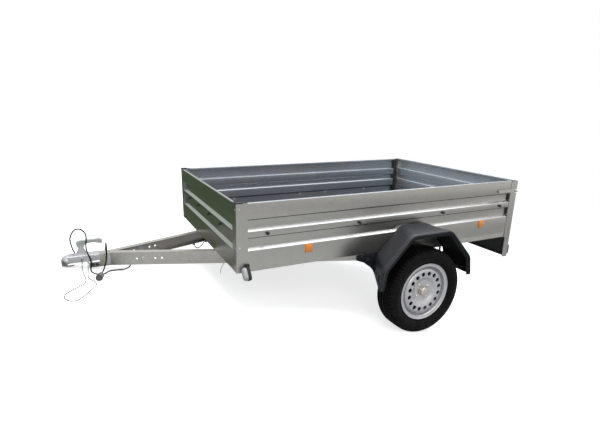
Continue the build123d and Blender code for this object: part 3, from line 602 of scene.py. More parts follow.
def build_finishes(chosen):
    """Every material, named for what it is on, from tables whose first line names the columns."""
    build_groups()
    zinc = tuple(chosen.zinc)
    for row in (
        # name, colour, roughness, spangle's cell and depth, rolling lines, dust, relief,
        # metallic, creases
        ("wall_zinc", zinc, 0.30, 60.0, 0.07, 0.06, 0.05, 0.03, 1.0),
        # Side walls' zinc, with painted shade under the two creases.
        ("side_zinc", zinc, 0.30, 60.0, 0.07, 0.06, 0.05, 0.03, 1.0, CREASES),
        # Upward slopes of the folds: a lighter copy of the zinc, a painted highlight.
        ("bright_fold", (0.56, 0.555, 0.54), 0.33, 60.0, 0.05, 0.05, 0.02, 0.03, 1.0),
        # Inner shelf: a near-white copy of the zinc, a painted highlight.
        ("shelf_zinc", (0.96, 0.96, 0.96), 0.38, 60.0, 0.05, 0.05, 0.02, 0.03, 1.0),
        ("shaded_fold", (0.17, 0.18, 0.20), 0.42, 60.0, 0.10, 0.05, 0.05, 0.04, 1.0),
        # Front wall's upward slopes and top: a greenish copy of the zinc, a painted reflection of lawn.
        ("front_fold", (0.30, 0.345, 0.31), 0.34, 60.0, 0.10, 0.06, 0.05, 0.03, 1.0),
        # Inner faces and tops: the bluish tint is a painted sky reflection. The stronger rolling lines
        # and dust are wear.
        ("inner_zinc", tinted(zinc, 0.92, 1.00, 1.16), 0.34, 60.0, 0.12, 0.10, 0.06, 0.04, 1.0),
        # Tailgate's inner faces: a brighter, bluish copy of the zinc, a painted sky reflection.
        ("gate_zinc", tinted(zinc, 1.22, 1.38, 1.60), 0.52, 60.0, 0.10, 0.10, 0.05, 0.04, 1.0),
        ("frame_zinc", tinted(zinc, 1.15, 1.15, 1.15), 0.36, 110.0, 0.28, 0.0, 0.24, 0.08, 1.0),
        ("coupling_zinc", (0.56, 0.56, 0.57), 0.28, 220.0, 0.10, 0.0, 0.14, 0.08, 1.0),
        ("hub_zinc", (0.58, 0.56, 0.48), 0.32, 240.0, 0.16, 0.0, 0.20, 0.08, 1.0),
        ("bright_bolt", (0.60, 0.61, 0.64), 0.34, 400.0, 0.12, 0.0, 0.10, 0.08, 0.5),
        ("rope_steel", (0.042, 0.048, 0.030), 0.55, 500.0, 0.30, 0.0, 0.05, 0.08, 0.0),
        ("dark_socket", (0.06, 0.06, 0.062), 0.55, 200.0, 0.30, 0.0, 0.20, 0.08, 0.6),
        ("wheel_silver", tuple(chosen.wheel_paint), 0.36, 900.0, 0.03, 0.0, 0.12, 0.03, 0.6),
    ):
        metal(*row)
    for row in (
        # name, colour, roughness, grain, relief, dust, coat
        ("handle_paint", (0.50, 0.54, 0.51), 0.40, 900.0, 0.15, 0.12, 0.2),
        ("guard_plastic", tuple(chosen.guard_plastic), 0.43, 1100.0, 0.35, 0.02, 0.0),
        ("black_plastic", (0.018, 0.018, 0.020), 0.42, 900.0, 0.30, 0.12, 0.0),
        ("black_paint", (0.020, 0.021, 0.023), 0.48, 700.0, 0.20, 0.20, 0.0),
        # Black disc behind the rim's holes: painted shade.
        ("dark_web", (0.006, 0.006, 0.006), 0.70, 700.0, 0.20, 0.05, 0.0),
        ("plug_plastic", (0.16, 0.16, 0.155), 0.50, 800.0, 0.35, 0.25, 0.0),
        ("pale_lens", (0.56, 0.555, 0.57), 0.22, 500.0, 0.20, 0.20, 0.5),
    ):
        plastic(*row)
    for row in (
        # name, colour, roughness, dust
        # Mudguard's lip and inner faces: duller and darker copies of its plastic, painted shade.
        ("guard_lip", (0.016, 0.0165, 0.019), 0.55, 0.03),
        ("guard_inside", (0.005, 0.005, 0.006), 0.70, 0.05),
        ("cable_jacket", (0.005, 0.005, 0.0055), 0.45, 0.03),
        ("tyre_rubber", (0.0035, 0.0034, 0.0036), 0.66, 0.10),
    ):
        rubber(*row)
    for row in (
        # name, colour, roughness, prisms' cell and relief
        ("amber_lens", tuple(chosen.amber), 0.24, 260.0, 0.5),
        ("red_lens", (0.52, 0.012, 0.014), 0.20, 230.0, 0.4),
        ("indicator_lens", (0.85, 0.30, 0.03), 0.20, 230.0, 0.4),
        ("clear_lens", (0.78, 0.78, 0.80), 0.15, 230.0, 0.4),
    ):
        lens(*row)
    board("floor_film", (0.046, 0.048, 0.060))


# Each slot of the frame and the finish that its pieces get.
FINISH_OF_SLOT = """
tyre tyre_rubber, wheel_paint wheel_silver, zinc_hub hub_zinc, mudguard_plastic guard_plastic,
floor_board floor_film, black_sheet black_paint, lamp_red red_lens, lamp_clear pale_lens,
black_plastic black_plastic, reflector_amber amber_lens, wall_galvanised wall_zinc,
frame_galvanised frame_zinc, handle_grey handle_paint, coupling_zinc coupling_zinc,
plug_grey plug_plastic, cable_black cable_jacket, safety_wire rope_steel
"""


# ---- settings


class TrailerSizes(bpy.types.PropertyGroup):
    """Sizes and colours that a user would change."""

    cable_diameter: bpy.props.FloatProperty(
        name="Cable", description="Diameter of the electric cable", default=0.008, unit="LENGTH"
    )
    wire_diameter: bpy.props.FloatProperty(
        name="Safety wire", description="Diameter of the safety wire", default=0.004, unit="LENGTH"
    )
    harness_diameter: bpy.props.FloatProperty(
        name="Harness", description="Diameter of the harness loop", default=0.006, unit="LENGTH"
    )
    tyre_radius: bpy.props.FloatProperty(
        name="Tyre radius",
        description="Outer radius of the tyres",
        default=round((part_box("tyre_left")[1].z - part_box("tyre_left")[0].z) / 2, 4),
        unit="LENGTH",
    )
    zinc: bpy.props.FloatVectorProperty(
        name="Zinc",
        description="Colour of the walls' zinc",
        default=(0.430, 0.418, 0.388),
        subtype="COLOR",
    )
    wheel_paint: bpy.props.FloatVectorProperty(
        name="Wheel paint",
        description="Colour of the rims",
        default=(0.60, 0.594, 0.610),
        subtype="COLOR",
    )
    guard_plastic: bpy.props.FloatVectorProperty(
        name="Mudguard",
        description="Colour of the mudguards",
        default=(0.0145, 0.0165, 0.0235),
        subtype="COLOR",
    )
    amber: bpy.props.FloatVectorProperty(
        name="Reflector",
        description="Colour of the side reflectors",
        default=(0.95, 0.31, 0.02),
        subtype="COLOR",
    )


def sizes():
    """The settings of this scene."""
    return bpy.context.scene.trailer_sizes


# ---- stage


# Camera: where it stands, its own axes in the row, its lens and its frame's shift.
CAMERA_PLACE = (1.5233801, 2.7215172, 0.9585646)
CAMERA_RIGHT = (-0.87636273, 0.43111368, 0.21477746)
CAMERA_UP = (0.11410632, -0.24739299, 0.96217278)
CAMERA_BACK = (0.46794029, 0.86771983, 0.1676132)
CAMERA_LENS, CAMERA_SENSOR = 26.2169, 36.0
CAMERA_SHIFT = (0.0163, 0.0038)
# Share of light that the floor sends on, and its own glow, by what a ray comes from: the
# camera sees it white, polished faces see it grey, and it bounces little light.
FLOOR_SEEN, FLOOR_MIRRORED, FLOOR_BOUNCE = 0.90, 0.50, 0.26
GLOW_SEEN, GLOW_MIRRORED = 0.72, 0.16
FLOOR_REACH = 45.0
LAWN_CARD = ((0.66, -8.0), (7.0, 0.10), 0.012)
DARK_GRASS, PALE_GRASS = (0.02, 0.045, 0.015, 1.0), (0.13, 0.17, 0.10, 1.0)
SKY_LIGHT, SKY_STRENGTH = (0.90, 0.95, 1.0, 1.0), 0.42
WHITE = (1.0, 1.0, 1.0, 1.0)
LAMPS = (
    # name, place, aim, width, depth, power, colour
    ("sky_panel", (-0.3, 0.2, 4.6), (-0.3, 0.0, 0.0), 6.0, 4.5, 260.0, (0.93, 0.965, 1.0)),
    ("near_panel", (2.6, 5.4, 3.4), (-0.4, 0.6, 0.3), 2.6, 2.6, 75.0, (1.0, 0.97, 0.93)),
)


def facing(right, top, back, place):
    """Matrix of an object at a place, from its own three axes."""
    rows = [(right[i], top[i], back[i], place[i]) for i in range(3)]
    return Matrix([*rows, (0.0, 0.0, 0.0, 1.0)])


def staged(piece):
    """Object of the stage, put in the scene."""
    bpy.context.scene.collection.objects.link(piece)
    return piece


def place_camera():
    """Camera at standing height off the front left corner, looking back along the near wall."""
    eye = bpy.data.cameras.new("eye")
    eye.sensor_width = CAMERA_SENSOR
    eye.lens = CAMERA_LENS
    eye.shift_x, eye.shift_y = CAMERA_SHIFT
    camera = bpy.data.objects.new("eye", eye)
    camera.matrix_world = facing(CAMERA_RIGHT, CAMERA_UP, CAMERA_BACK, CAMERA_PLACE)
    bpy.context.scene.collection.objects.link(camera)
    bpy.context.scene.camera = camera


def soft_lamp(name, place, aim, width, depth, power, colour):
    """Area lamp at a place, turned towards a point."""
    light = bpy.data.lights.new(name, "AREA")
    light.shape = "RECTANGLE"
    light.size, light.size_y = width, depth
    light.energy = power
    light.color = colour
    lamp = bpy.data.objects.new(name, light)
    back = np.array(place, float) - np.array(aim, float)
    back /= np.linalg.norm(back)
    side = np.cross([0.0, 1.0, 0.001], back)
    side /= np.linalg.norm(side)
    staged(lamp).matrix_world = facing(side, np.cross(back, side), back, place)


def ray_shares(tree):
    """Two masks: 1 for rays from the camera, and 1 for rays off polished or through clear faces."""
    camera = node(tree, "LightPath", output="Is Camera Ray")
    return camera, maths("MAXIMUM", camera.beside("Is Glossy Ray"), camera.beside("Is Transmission Ray"))


def flat_card(name, corners, material):
    """Level rectangle from its (x, y) corners and its height."""
    (x0, y0), (x1, y1), z = corners
    mesh = bpy.data.meshes.new(name)
    mesh.from_pydata([(x0, y0, z), (x1, y0, z), (x1, y1, z), (x0, y1, z)], [], [(0, 1, 2, 3)])
    mesh.materials.append(material)
    return staged(bpy.data.objects.new(name, mesh))


def plain_world():
    """Sky that lights the trailer, and is white to the camera and to polished faces."""
    world = bpy.data.worlds.new("plain")
    world.use_nodes = True
    bpy.context.scene.world = world
    tree = world.node_tree
    tree.nodes.clear()
    seen = maths("MAXIMUM", *ray_shares(tree))
    light = node(tree, "Background", Color=SKY_LIGHT, Strength=SKY_STRENGTH)
    shown = node(tree, "Background", Color=WHITE, Strength=1.0)
    mix = node(tree, "MixShader", i0=seen, i1=light, i2=shown)
    joined(tree.nodes.new("ShaderNodeOutputWorld"), Surface=mix)


def white_floor():
    """Matt floor with a glow, both by what a ray comes from."""
    material, tree, end = bare("white_floor")
    camera, polished = ray_shares(tree)
    extra = camera * (FLOOR_SEEN - FLOOR_BOUNCE) + polished * (FLOOR_MIRRORED - FLOOR_BOUNCE)
    glow = camera * GLOW_SEEN + polished * GLOW_MIRRORED
    matt = node(tree, "BsdfDiffuse", Color=FLOOR_BOUNCE + extra)
    shine = node(tree, "Emission", Color=WHITE, Strength=glow)
    joined(end, Surface=node(tree, "AddShader", i0=matt, i1=shine))
    flat_card("ground", ((-FLOOR_REACH, -FLOOR_REACH), (FLOOR_REACH, FLOOR_REACH), 0.0), material)


def dark_lawn():
    """Strip of lawn beside the front wall, that only polished faces see."""
    material, tree, end = bare("dark_lawn")
    patch = cloud(node(tree, "TexCoord", output="Object"), 2.3, 5.0)
    grass = mixed(patch, DARK_GRASS, PALE_GRASS)
    joined(end, Surface=node(tree, "Emission", Color=grass, Strength=1.0))
    strip = flat_card("lawn_strip", LAWN_CARD, material)
    for ray in ("camera", "diffuse", "shadow", "transmission"):
        setattr(strip, "visible_" + ray, False)


class TRAILER_OT_stage(bpy.types.Operator):
    """Camera, white floor, soft lamps, a dark strip that only polished faces see, plain world"""

    bl_idname = "trailer.stage"
    bl_label = "Stage"

    def execute(self, context):
        place_camera()
        context.scene.view_settings.view_transform = "Standard"
        plain_world()
        white_floor()
        dark_lawn()
        for lamp in LAMPS:
            soft_lamp(*lamp)
        return {"FINISHED"}


# ---- cables

# Where each cord's middle line runs, from its exit to its far end, in millimetres.
ELECTRIC_ROUTE = """
1155 0 88, 1131 0 93, 1106 1 84, 1090 2 62, 1090 4 35, 1107 8 14, 1136 14 6, 1168 22 5,
1199 38 5, 1223 62 5, 1237 93 5, 1250 114 6, 1273 124 7, 1297 119 8, 1315 102 11, 1320 79 22,
1318 64 43, 1324 57 66, 1336 54 87, 1348 48 107, 1357 38 128, 1361 30 150, 1362 28 176,
1366 28 204, 1381 26 228, 1406 17 238, 1430 0 226, 1443 -22 194, 1447 -42 151, 1433 -56 111,
1416 -66 73, 1392 -76 43, 1356 -84 19, 1317 -80 6, 1283 -70 11, 1258 -59 32, 1246 -51 62,
1243 -46 91, 1244 -46 116, 1247 -40 139, 1250 -23 156, 1252 0 161, 1250 23 156, 1248 41 139,
1245 50 115, 1242 55 90, 1241 62 66, 1245 75 45, 1250 95 32, 1256 118 25, 1262 140 20
"""
WIRE_ROUTE = """
1336 42 50, 1335 45 40, 1333 52 26, 1332 66 11, 1332 94 4, 1334 129 3, 1332 166 3, 1322 202 3,
1303 228 3, 1291 256 3, 1297 290 3, 1311 324 3, 1327 364 3, 1347 412 3, 1368 462 3, 1393 502 3,
1423 512 3, 1446 490 3, 1451 453 3, 1439 411 3, 1415 367 3, 1386 324 3, 1361 284 3, 1347 245 3,
1345 206 3, 1349 166 3, 1354 129 3, 1359 96 5, 1363 71 14, 1366 56 30, 1368 47 46, 1370 43 57,
1372 42 65
"""
HARNESS_ROUTE = """
654 -205 145, 650 -206 134, 639 -209 123, 621 -213 122, 605 -218 134, 594 -223 148,
586 -227 159, 581 -230 168
"""
# The plug's line of (radius, along), from the end of the cable.
PLUG_LINE = """
0 1.5, 6.8 1.5, 7 4, 7.6 8, 7 9.5, 8.2 13, 7.7 15, 9.2 19, 8.6 21, 10.4 24, 16 26.5, 17.6 29,
18.5 34, 18 36.5, 18 40, 18.5 42.5, 18 45, 18.5 47.5, 18 50, 18.5 52.5, 18.5 61, 19.5 62, 19.5 75,
18.6 77.6, 16.8 78, 16.2 70, 14.4 69, 14 76.5, 0 76.5
"""
# The plug's way along the ground, and its key: how far along, how high, and its size.
PLUG_WAY = np.array([0.24, 0.97, 0.0]) / math.hypot(0.24, 0.97)
KEY_ALONG, KEY_RISE, KEY_SIZE = 0.050, 0.0183, (0.030, 0.006, 0.0022)


def cord_curve(name, route, diameter, material, replaced):
    """Round cord on one open NURBS spline that has the route's places as its control points."""
    points = table(route) * MM
    curve = bpy.data.curves.new(name, "CURVE")
    curve.dimensions = "3D"
    curve.bevel_depth = diameter / 2
    curve.bevel_resolution = 4
    curve.resolution_u = 8
    curve.use_fill_caps = True
    spline = curve.splines.new("NURBS")
    spline.points.add(len(points) - 1)
    spline.points.foreach_set("co", np.column_stack([points, np.ones(len(points))]).ravel())
    spline.order_u = 3
    spline.use_endpoint_u = True
    curve.materials.append(bpy.data.materials[material])
    return placed(bpy.data.objects.new(name, curve), "chassis", [replaced]), points


def plug_parts(start):
    """Plug turned about its way, from the end of its cable, with a key along its upper side."""
    across = np.array([PLUG_WAY[1], -PLUG_WAY[0], 0.0])
    body, faces = lathe(PLUG_LINE, 40)
    shell = start + body @ np.array([across, np.cross(PLUG_WAY, across), PLUG_WAY])
    middle = start + PLUG_WAY * KEY_ALONG + np.array([0.0, 0.0, KEY_RISE])
    return [(shell, faces), block(middle, (PLUG_WAY, across, Z_WAY), KEY_SIZE)]


class TRAILER_OT_cables(bpy.types.Operator):
    """Electric cable with its plug, safety wire and harness loop"""

    bl_idname = "trailer.cables"
    bl_label = "Cables"

    def execute(self, context):
        size = sizes()
        cable, points = cord_curve(
            "electric_cord", ELECTRIC_ROUTE, size.cable_diameter, "cable_jacket",
            "electric_cable",
        )
        parts = plug_parts(points[-1])
        plug = make("cable_plug", parts, ["plug_plastic"], "chassis", "plug_grey", ["plug"])
        wire, points = cord_curve(
            "safety_rope", WIRE_ROUTE, size.wire_diameter, "rope_steel", "safety_wire"
        )
        harness, points = cord_curve(
            "harness_cord", HARNESS_ROUTE, size.harness_diameter, "cable_jacket",
            "harness_loop",
        )
        return {"FINISHED"}


# ---- wheels

# The tyre's outline as (width, radius): its side from the bead to the shoulder, and the widths
# of its crown's points, which fall from CROWN_RADIUS by CROWN_FALL at CROWN_WIDTH, as a square.
TYRE_SIDE = """
50 165.4, 53.5 167.5, 54.6 176, 54.6 184, 57.5 187.5, 60.5 189, 61 191.5, 63.5 194.5, 69.5 201.5,
75 211, 77.8 221, 78.5 228, 78.2 232, 78.5 233, 78.3 234.5, 77.3 236, 76.4 243, 74.2 250.5,
71.4 257, 67.2 262.8, 62 267, 56.5 269.9, 50 271.6, 44 272.3
"""
TYRE_CROWN = [41.6, 41.0, 35.0, 34.4, 26.0, 17.6, 17.0, 10.0, 9.4, 3.0]
CROWN_RADIUS, CROWN_FALL, CROWN_WIDTH = 273.0, 0.7, 44.0
# Two grooves on each half: between which widths, and how deep.
GROOVES = ((9.8, 17.3), (34.8, 41.3))
TREAD_DEPTH = 7.0
# Shoulder slots and the sipes between the grooves: depths, and shares of a pitch.
SLOT_DEPTH, SLOT_SHARES = 6.0, (0.06, 0.26)
SIPE_DEPTH, SIPE_SHARES = 4.0, (0.475, 0.575)
# A slot gets shallower over SLOT_FADE towards SLOT_END, and is only where the radius is large.
SLOT_END, SLOT_FADE, TREAD_START = 72.0, 8.0, 256.0
# The pattern slants by SLANT of a pitch at SLANT_WIDTH, and no more than SLANT_MOST times that.
SLANT, SLANT_WIDTH, SLANT_MOST = 0.55, 50.0, 1.2
PITCHES = 70
PITCH_PARTS = np.array([0.0, 0.05, 0.08, 0.24, 0.27, 0.46, 0.49, 0.56, 0.59, 0.8])


def within(values, ends):
    """Whether each value lies between two ends."""
    return (values > ends[0]) & (values < ends[1])


def tyre_points(radius):
    """Tyre with tread. Its section goes from bead to bead by (width, radius). Round the wheel,
    each pitch has a shoulder slot and a sipe, slanted by a share of the pitch that grows with
    width, and each point drops by the deepest of the grooves, slots and sipes there."""
    crown = [(w, CROWN_RADIUS - CROWN_FALL * (w / CROWN_WIDTH) ** 2) for w in TYRE_CROWN]
    half = np.concatenate([table(TYRE_SIDE), crown])
    width, far = np.concatenate([half, (half * [-1, 1])[::-1]]).T
    reach = np.abs(width)
    inner, outer = GROOVES
    groove = np.where(within(reach, inner) | within(reach, outer), TREAD_DEPTH, 0.0)
    fade = np.clip((SLOT_END - reach) / SLOT_FADE, 0, 1)
    slot = np.where((far > TREAD_START) & (reach > outer[1]), fade * SLOT_DEPTH, 0.0)
    sipe = np.where(within(reach, (inner[1], outer[0])), SIPE_DEPTH, 0.0)
    share = (np.arange(PITCHES)[:, None] + PITCH_PARTS[None, :]).ravel()[:, None]
    cut = np.maximum(slot * within(share % 1.0, SLOT_SHARES), sipe * within(share % 1.0, SIPE_SHARES))
    slant = np.sign(width) * np.clip(reach / SLANT_WIDTH, 0, SLANT_MOST) * SLANT
    angle = (share + slant) * 2 * np.pi / PITCHES
    spot = far * (radius / (CROWN_RADIUS * MM)) - np.maximum(groove, cut)
    across = np.broadcast_to(width, spot.shape)
    points = np.stack([spot * np.cos(angle), spot * np.sin(angle), across], -1)
    return points.reshape(-1, 3) * MM, quads(*spot.shape, ring=True)


# The rim's line and the disc's as (width, radius), and the ring of round holes in the disc:
# the holes' circle, radius and number, the ring's edges and the least gap to the next point,
# the parts of each sector's edges, and how the two sheets are bent.
RIM_LINE = """
60 178.5, 63.2 181, 61.2 183.8, 57.8 181.5, 55.6 176, 54.5 165.5, 50 163.4, 45 165, 41 163,
33 161.5, 22 147.5, -14 147.5, -26 161.5, -54.5 165.5, -57.8 181.5, -61.2 183.8, -63.2 181,
-60 178.5
"""
DISC_LINE = "12 146, 30 146, 46 141.5, 51.5 132, 52.5 101, 48 90, 36.5 74, 34 62, 34 29"
HOLE_CIRCLE, HOLE_RADIUS, HOLES = 116.0, 13.5, 16
RING_OUT, RING_IN, RING_GAP = 133.5, 98.5, 0.2
SECTOR_PARTS, SIDE_PARTS = 8, 4
RIM_SHEET, RIM_BEND, DISC_SHEET, DISC_BEND = 3.0, 2.5, 4.0, 9.0
# Rings of a hole, from the disc's back to its front: a radius past the hole's, and what is
# added to the level of the sheet's face there.
HOLE_BACK = ((2.0, 0.0), (0.0, 0.3))
HOLE_FRONT = ((0.0, -1.6), (0.5, -0.5), (1.6, 0.0))


def level_at(radius, path):
    """Level of a (radius, level) path at some radii."""
    order = np.argsort(path[:, 0])
    return np.interp(radius, path[order, 0], path[order, 1])


def disc_sector(back, front):
    """Sector of the ring of holes as rows of points: from its edge, through rings round the
    hole and down the hole's wall, to the other side of the sheet."""
    half = np.pi / HOLES
    across = np.linspace(-half, half, SECTOR_PARTS + 1)
    down = np.linspace(RING_OUT, RING_IN, SIDE_PARTS + 1)
    ones, sides = np.ones(SECTOR_PARTS), np.ones(SIDE_PARTS)
    radius = np.concatenate([RING_OUT * ones, down[:-1], RING_IN * ones, down[:0:-1]])
    angle = np.concatenate([across[:-1], half * sides, across[:0:-1], -half * sides])
    edge = np.column_stack([radius * np.cos(angle), radius * np.sin(angle)])
    centre = np.array([HOLE_CIRCLE, 0.0])
    way = edge - centre
    way /= np.linalg.norm(way, axis=1, keepdims=True)

    def row(spots, path, lift=0.0):
        return np.column_stack([spots, level_at(np.linalg.norm(spots, axis=1), path) + lift])

    def rings(path, layers):
        return [row(centre + way * (HOLE_RADIUS + more), path, lift) for more, lift in layers]

    holes = rings(back, HOLE_BACK) + rings(front, HOLE_FRONT)
    return np.stack([row(edge, back), *holes, row(edge, front)])


def rim_points():
    """Wheel rim and disc. The rim is a folded line turned about the axle. The disc's line is
    turned too, apart from the ring of holes, which is one sector turned to every hole."""
    section = sheet_section(table(RIM_LINE)[:, ::-1], RIM_SHEET, RIM_BEND) * MM
    parts = [turned(np.concatenate([section, section[:1]]), 128)]
    front = rounded(table(DISC_LINE)[:, ::-1], DISC_BEND, 6)
    back = front + sideways(front) * DISC_SHEET
    for edge, keep in ((RING_OUT, 1), (RING_IN, -1)):
        strips = []
        for path in (front, back):
            kept = path[(path[:, 0] - edge) * keep > RING_GAP][::-keep]
            strips.append(np.vstack([[edge, level_at(edge, path)], kept]))
        loop = np.concatenate([strips[0], strips[1][::-1]])
        parts.append(turned(loop * MM, HOLES * SECTOR_PARTS, -np.pi / HOLES))
    sector = disc_sector(back, front)
    spots = sector.reshape(-1, 3) * MM
    turns = [about_axle(spots, hole * 2 * math.pi / HOLES) for hole in range(HOLES)]
    return [*parts, together(turns, quads(*sector.shape[:2]))]


# Lines of (radius, outward) that are turned about the axle: hub, grease cap and a black disc
# behind the holes, which is painted shade seen through them. The valve's line is turned about
# its own stem, which leans. The wheel's bolts have a size, a circle and a seat.
HUB_LINE = "15.05 30, 62 30, 62 20, 34 14, 30 -40, 15.05 -40, 15.05 30"
CAP_LINE = """
27.5 30, 28 40, 29.2 41, 29.2 43, 28 44, 27.4 54, 25.8 58.8, 21 62.6, 12 63.8, 0 64
"""
SHADE_WEB_LINE = "30.5 -8, 146.4 -8, 146.8 -9.5, 146.4 -11, 30.5 -11, 30.5 -8"
VALVE_LINE = "0 -8, 4.5 -8, 5.2 -3, 4.6 0, 3.4 4, 3.2 18, 3.8 19, 3.8 27, 3 28, 0 28"
VALVE_PLACE, VALVE_TURN = (0.1505, 0.0, 0.036), math.radians(-16.0)
VALVE_LEAN = ((0.5, 0.0, 0.866), (0.0, 1.0, 0.0), (-0.866, 0.0, 0.5))
WHEEL_BOLT, BOLT_CIRCLE, BOLT_SEAT = (9.4, 11.0, 12.5), 0.049, 0.034


def bolt_head(radius, height, washer):
    """Hexagon head with a chamfered top on a round washer: its radius, height and washer's
    radius in millimetres."""
    low, disc = 0.1 * height, 0.2 * height
    head = [(0, height), (0.82 * radius, height), (radius, 0.86 * height), (radius, low), (0, low)]
    ring = [(0, disc), (washer * 0.94, disc), (washer, 0.12 * height), (washer, 0), (0, 0)]
    return [turned(np.array(head) * MM, 6), turned(np.array(ring) * MM, 24)]


def about_axle(points, angle):
    """Points turned about the axle by an angle: (x cos a - y sin a, x sin a + y cos a)."""
    cos, sin = math.cos(angle), math.sin(angle)
    return points @ np.array([[cos, sin, 0.0], [-sin, cos, 0.0], [0.0, 0.0, 1.0]])


class TRAILER_OT_wheels(bpy.types.Operator):
    """Tyres with tread, pressed rims with round holes, hubs, valves"""

    bl_idname = "trailer.wheels"
    bl_label = "Wheels"

    def execute(self, context):
        bolts = []
        for quarter in range(4):
            angle = (quarter + 0.5) * math.pi / 2
            place = [math.cos(angle) * BOLT_CIRCLE, math.sin(angle) * BOLT_CIRCLE, BOLT_SEAT]
            bolts += [(points + place, faces) for points, faces in bolt_head(*WHEEL_BOLT)]
        stem, faces = lathe(VALVE_LINE, 16)
        stem = about_axle(stem @ np.array(VALVE_LEAN) + VALVE_PLACE, VALVE_TURN)
        hub = [lathe(HUB_LINE, 64), lathe(CAP_LINE, 48)]
        pieces = (
            # name, parts, finish, slot, what it replaces, how near points are merged
            ("tyre_tread_", [tyre_points(sizes().tyre_radius)], "tyre_rubber", "tyre", "tyre_", 1e-6),
            ("rim_pressed_", rim_points(), "wheel_silver", "wheel_paint", "rim_", 2e-5),
            ("hub_turned_", hub, "hub_zinc", "zinc_hub", "hub_", 1e-6),
            ("wheel_bolts_", bolts, "hub_zinc", "zinc_hub", None, 1e-6),
            ("valve_", [(stem, faces)], "black_plastic", "black_plastic", None, 1e-6),
            # A black disc behind the rim's holes: painted shade seen through them.
            ("wheel_shade_web_", [lathe(SHADE_WEB_LINE, 64)], "dark_web", "black_sheet", None, 1e-6),
        )
        for name, side in SIDES:
            for prefix, parts, finish, slot, replaced, merge in pieces:
                # Wheel places are forward, up and outward from the rim's centre.
                seats = [
                    (WHEEL_ROW + np.column_stack([p[:, 0], side * (RIM_CENTRE + p[:, 2]), p[:, 1]]), f)
                    for p, f in parts
                ]
                instead = [replaced + name] if replaced else ()
                make(prefix + name, seats, [finish], "wheel_" + name, slot, instead, merge=merge)
        return {"FINISHED"}


# ---- mudguards

# The arch at the ridge and at the wall, as (forward, up) from the guard's middle; the section
# as (width, rise from the skin); and the plate that closes the front corner.
GUARD_X = -1.135
GUARD_LINE = "347 -150, 327 -30, 150 156, -150 156, -327 -30, -347 -150"
GUARD_ROOT = "231 -150, 250 -30, 62 156, -150 156, -327 -30, -347 -150"
GUARD_SECTION = """
650 -9, 650 0, 700 0, 760 0, 836 0, 843 5.2, 858 6, 861.5 2.6, 865.5 2.6, 869 6, 877 5, 880 -3,
878 -10, 870 -26
"""
GUARD_GUSSET = """
200 -1, 379 -1, 375 -34, 324 -54, 293 -75, 267 -94, 248 -115, 231 -150, 200 -150
"""
GUSSET_FACES = (0.650, 0.653)
GUARD_WALL, GUARD_SKIN, LIP_START = 650.0, 849.5, 860.0
GUARD_BEND, GUARD_SHEET, GUARD_CREASE = 78.0, 3.0, 3.2


def guard_points():
    """Moulded guard: its section, as widths and rises from the skin, is carried along the
    arch's line. A point is the line's point plus its normal times the rise. The line is a
    blend by width, from the root at the wall to the arch at the ridge."""
    arch = rounded(table(GUARD_LINE), GUARD_BEND, 10)
    root = rounded(table(GUARD_ROOT), GUARD_BEND, 10)
    width, rise = sheet_section(table(GUARD_SECTION), GUARD_SHEET, GUARD_CREASE).T
    share = np.clip((GUARD_SKIN - width) / (GUARD_SKIN - GUARD_WALL), 0.0, 1.0)[None, :, None]
    path = arch[:, None] + share * (root - arch)[:, None]
    outward = sideways(arch)[:, None] * (1 - share) + sideways(root)[:, None] * share
    spot = path + outward * rise[None, :, None]
    y = np.broadcast_to(width, spot.shape[:2])
    local = np.stack([spot[..., 0] * MM + GUARD_X, y * MM, spot[..., 1] * MM], -1).reshape(-1, 3)
    outer, inner = sheet_faces(len(arch), len(width))
    first = outer[:, 0] % len(width)
    lip = (width[first] > LIP_START) & (rise[first] < 0.0)
    points = stand(local)
    # The lip's outer faces and the inner faces get copies of the plastic with painted shade.
    return [(points, outer[~lip], 0), (points, outer[lip], 2), (points, inner, 1)]


def plate(outline, low, high, seat):
    """Flat plate: an outline of local (first, second) places between two third places."""
    count = len(outline)
    points = seat(lifted(outline, (low, high)))
    caps = np.stack([np.arange(count), np.arange(count) + count])
    return [(points, quads(2, count)), (points, caps)]


class TRAILER_OT_mudguards(bpy.types.Operator):
    """Moulded mudguards with a double ridge along the outer edge"""

    bl_idname = "trailer.mudguards"
    bl_label = "Mudguards"

    def execute(self, context):
        gusset = plate(table(GUARD_GUSSET) * MM, *GUSSET_FACES, seated((GUARD_X, 0, 0), *OUT))
        parts, finish = guard_points() + gusset, ["guard_plastic", "guard_inside", "guard_lip"]
        make_pair("guard_moulded_", parts, finish, "mudguard_plastic", "mudguard_", sharp=50.0)
        return {"FINISHED"}


# ---- folded walls

# A wall's folds as (depth, height), from its foot up, and how its sheet is bent.
WALL_FOLDS = """
24 0, 0 0, 0 118, 18 131, 18 188, 0 190, 0 224, 18 237, 18 289, 0 291, 0 380, 16 380, 16 368
"""
WALL_SHEET, BEND = 1.5 * MM, 2.4 * MM
# What tells a wall's edges apart: the inner shelf's height, how near it and how flat they are,
# the band of heights that holds the slopes and how steep those are, and where the lip and the
# top start.
SHELF, SHELF_NEAR, SHELF_FLAT = 0.189, 0.004, 0.8
SLOPE_BAND, SLOPE_LEAST = (0.1, 0.3), 0.2
LIP_FOOT, LIP_DEPTH, TOP_FOOT = 0.360, 0.014, 0.3775
# Where the walls start, how long they are, and the corner posts' outline and sheet.
SIDE_START, SIDE_LENGTH, FRONT_LENGTH = -0.064, 1.977, 1.172
POST_LINE, POST_SHEET, POST_BEND = "-64 650, 0 650, 0 586", 2 * MM, 4 * MM


def wall_section(foot=0.0):
    """Section of a wall as (depth, height), folded with a small bend at each crease."""
    points = table(WALL_FOLDS) * MM
    points[:2, 1] = foot
    return sheet_section(points, WALL_SHEET, BEND)


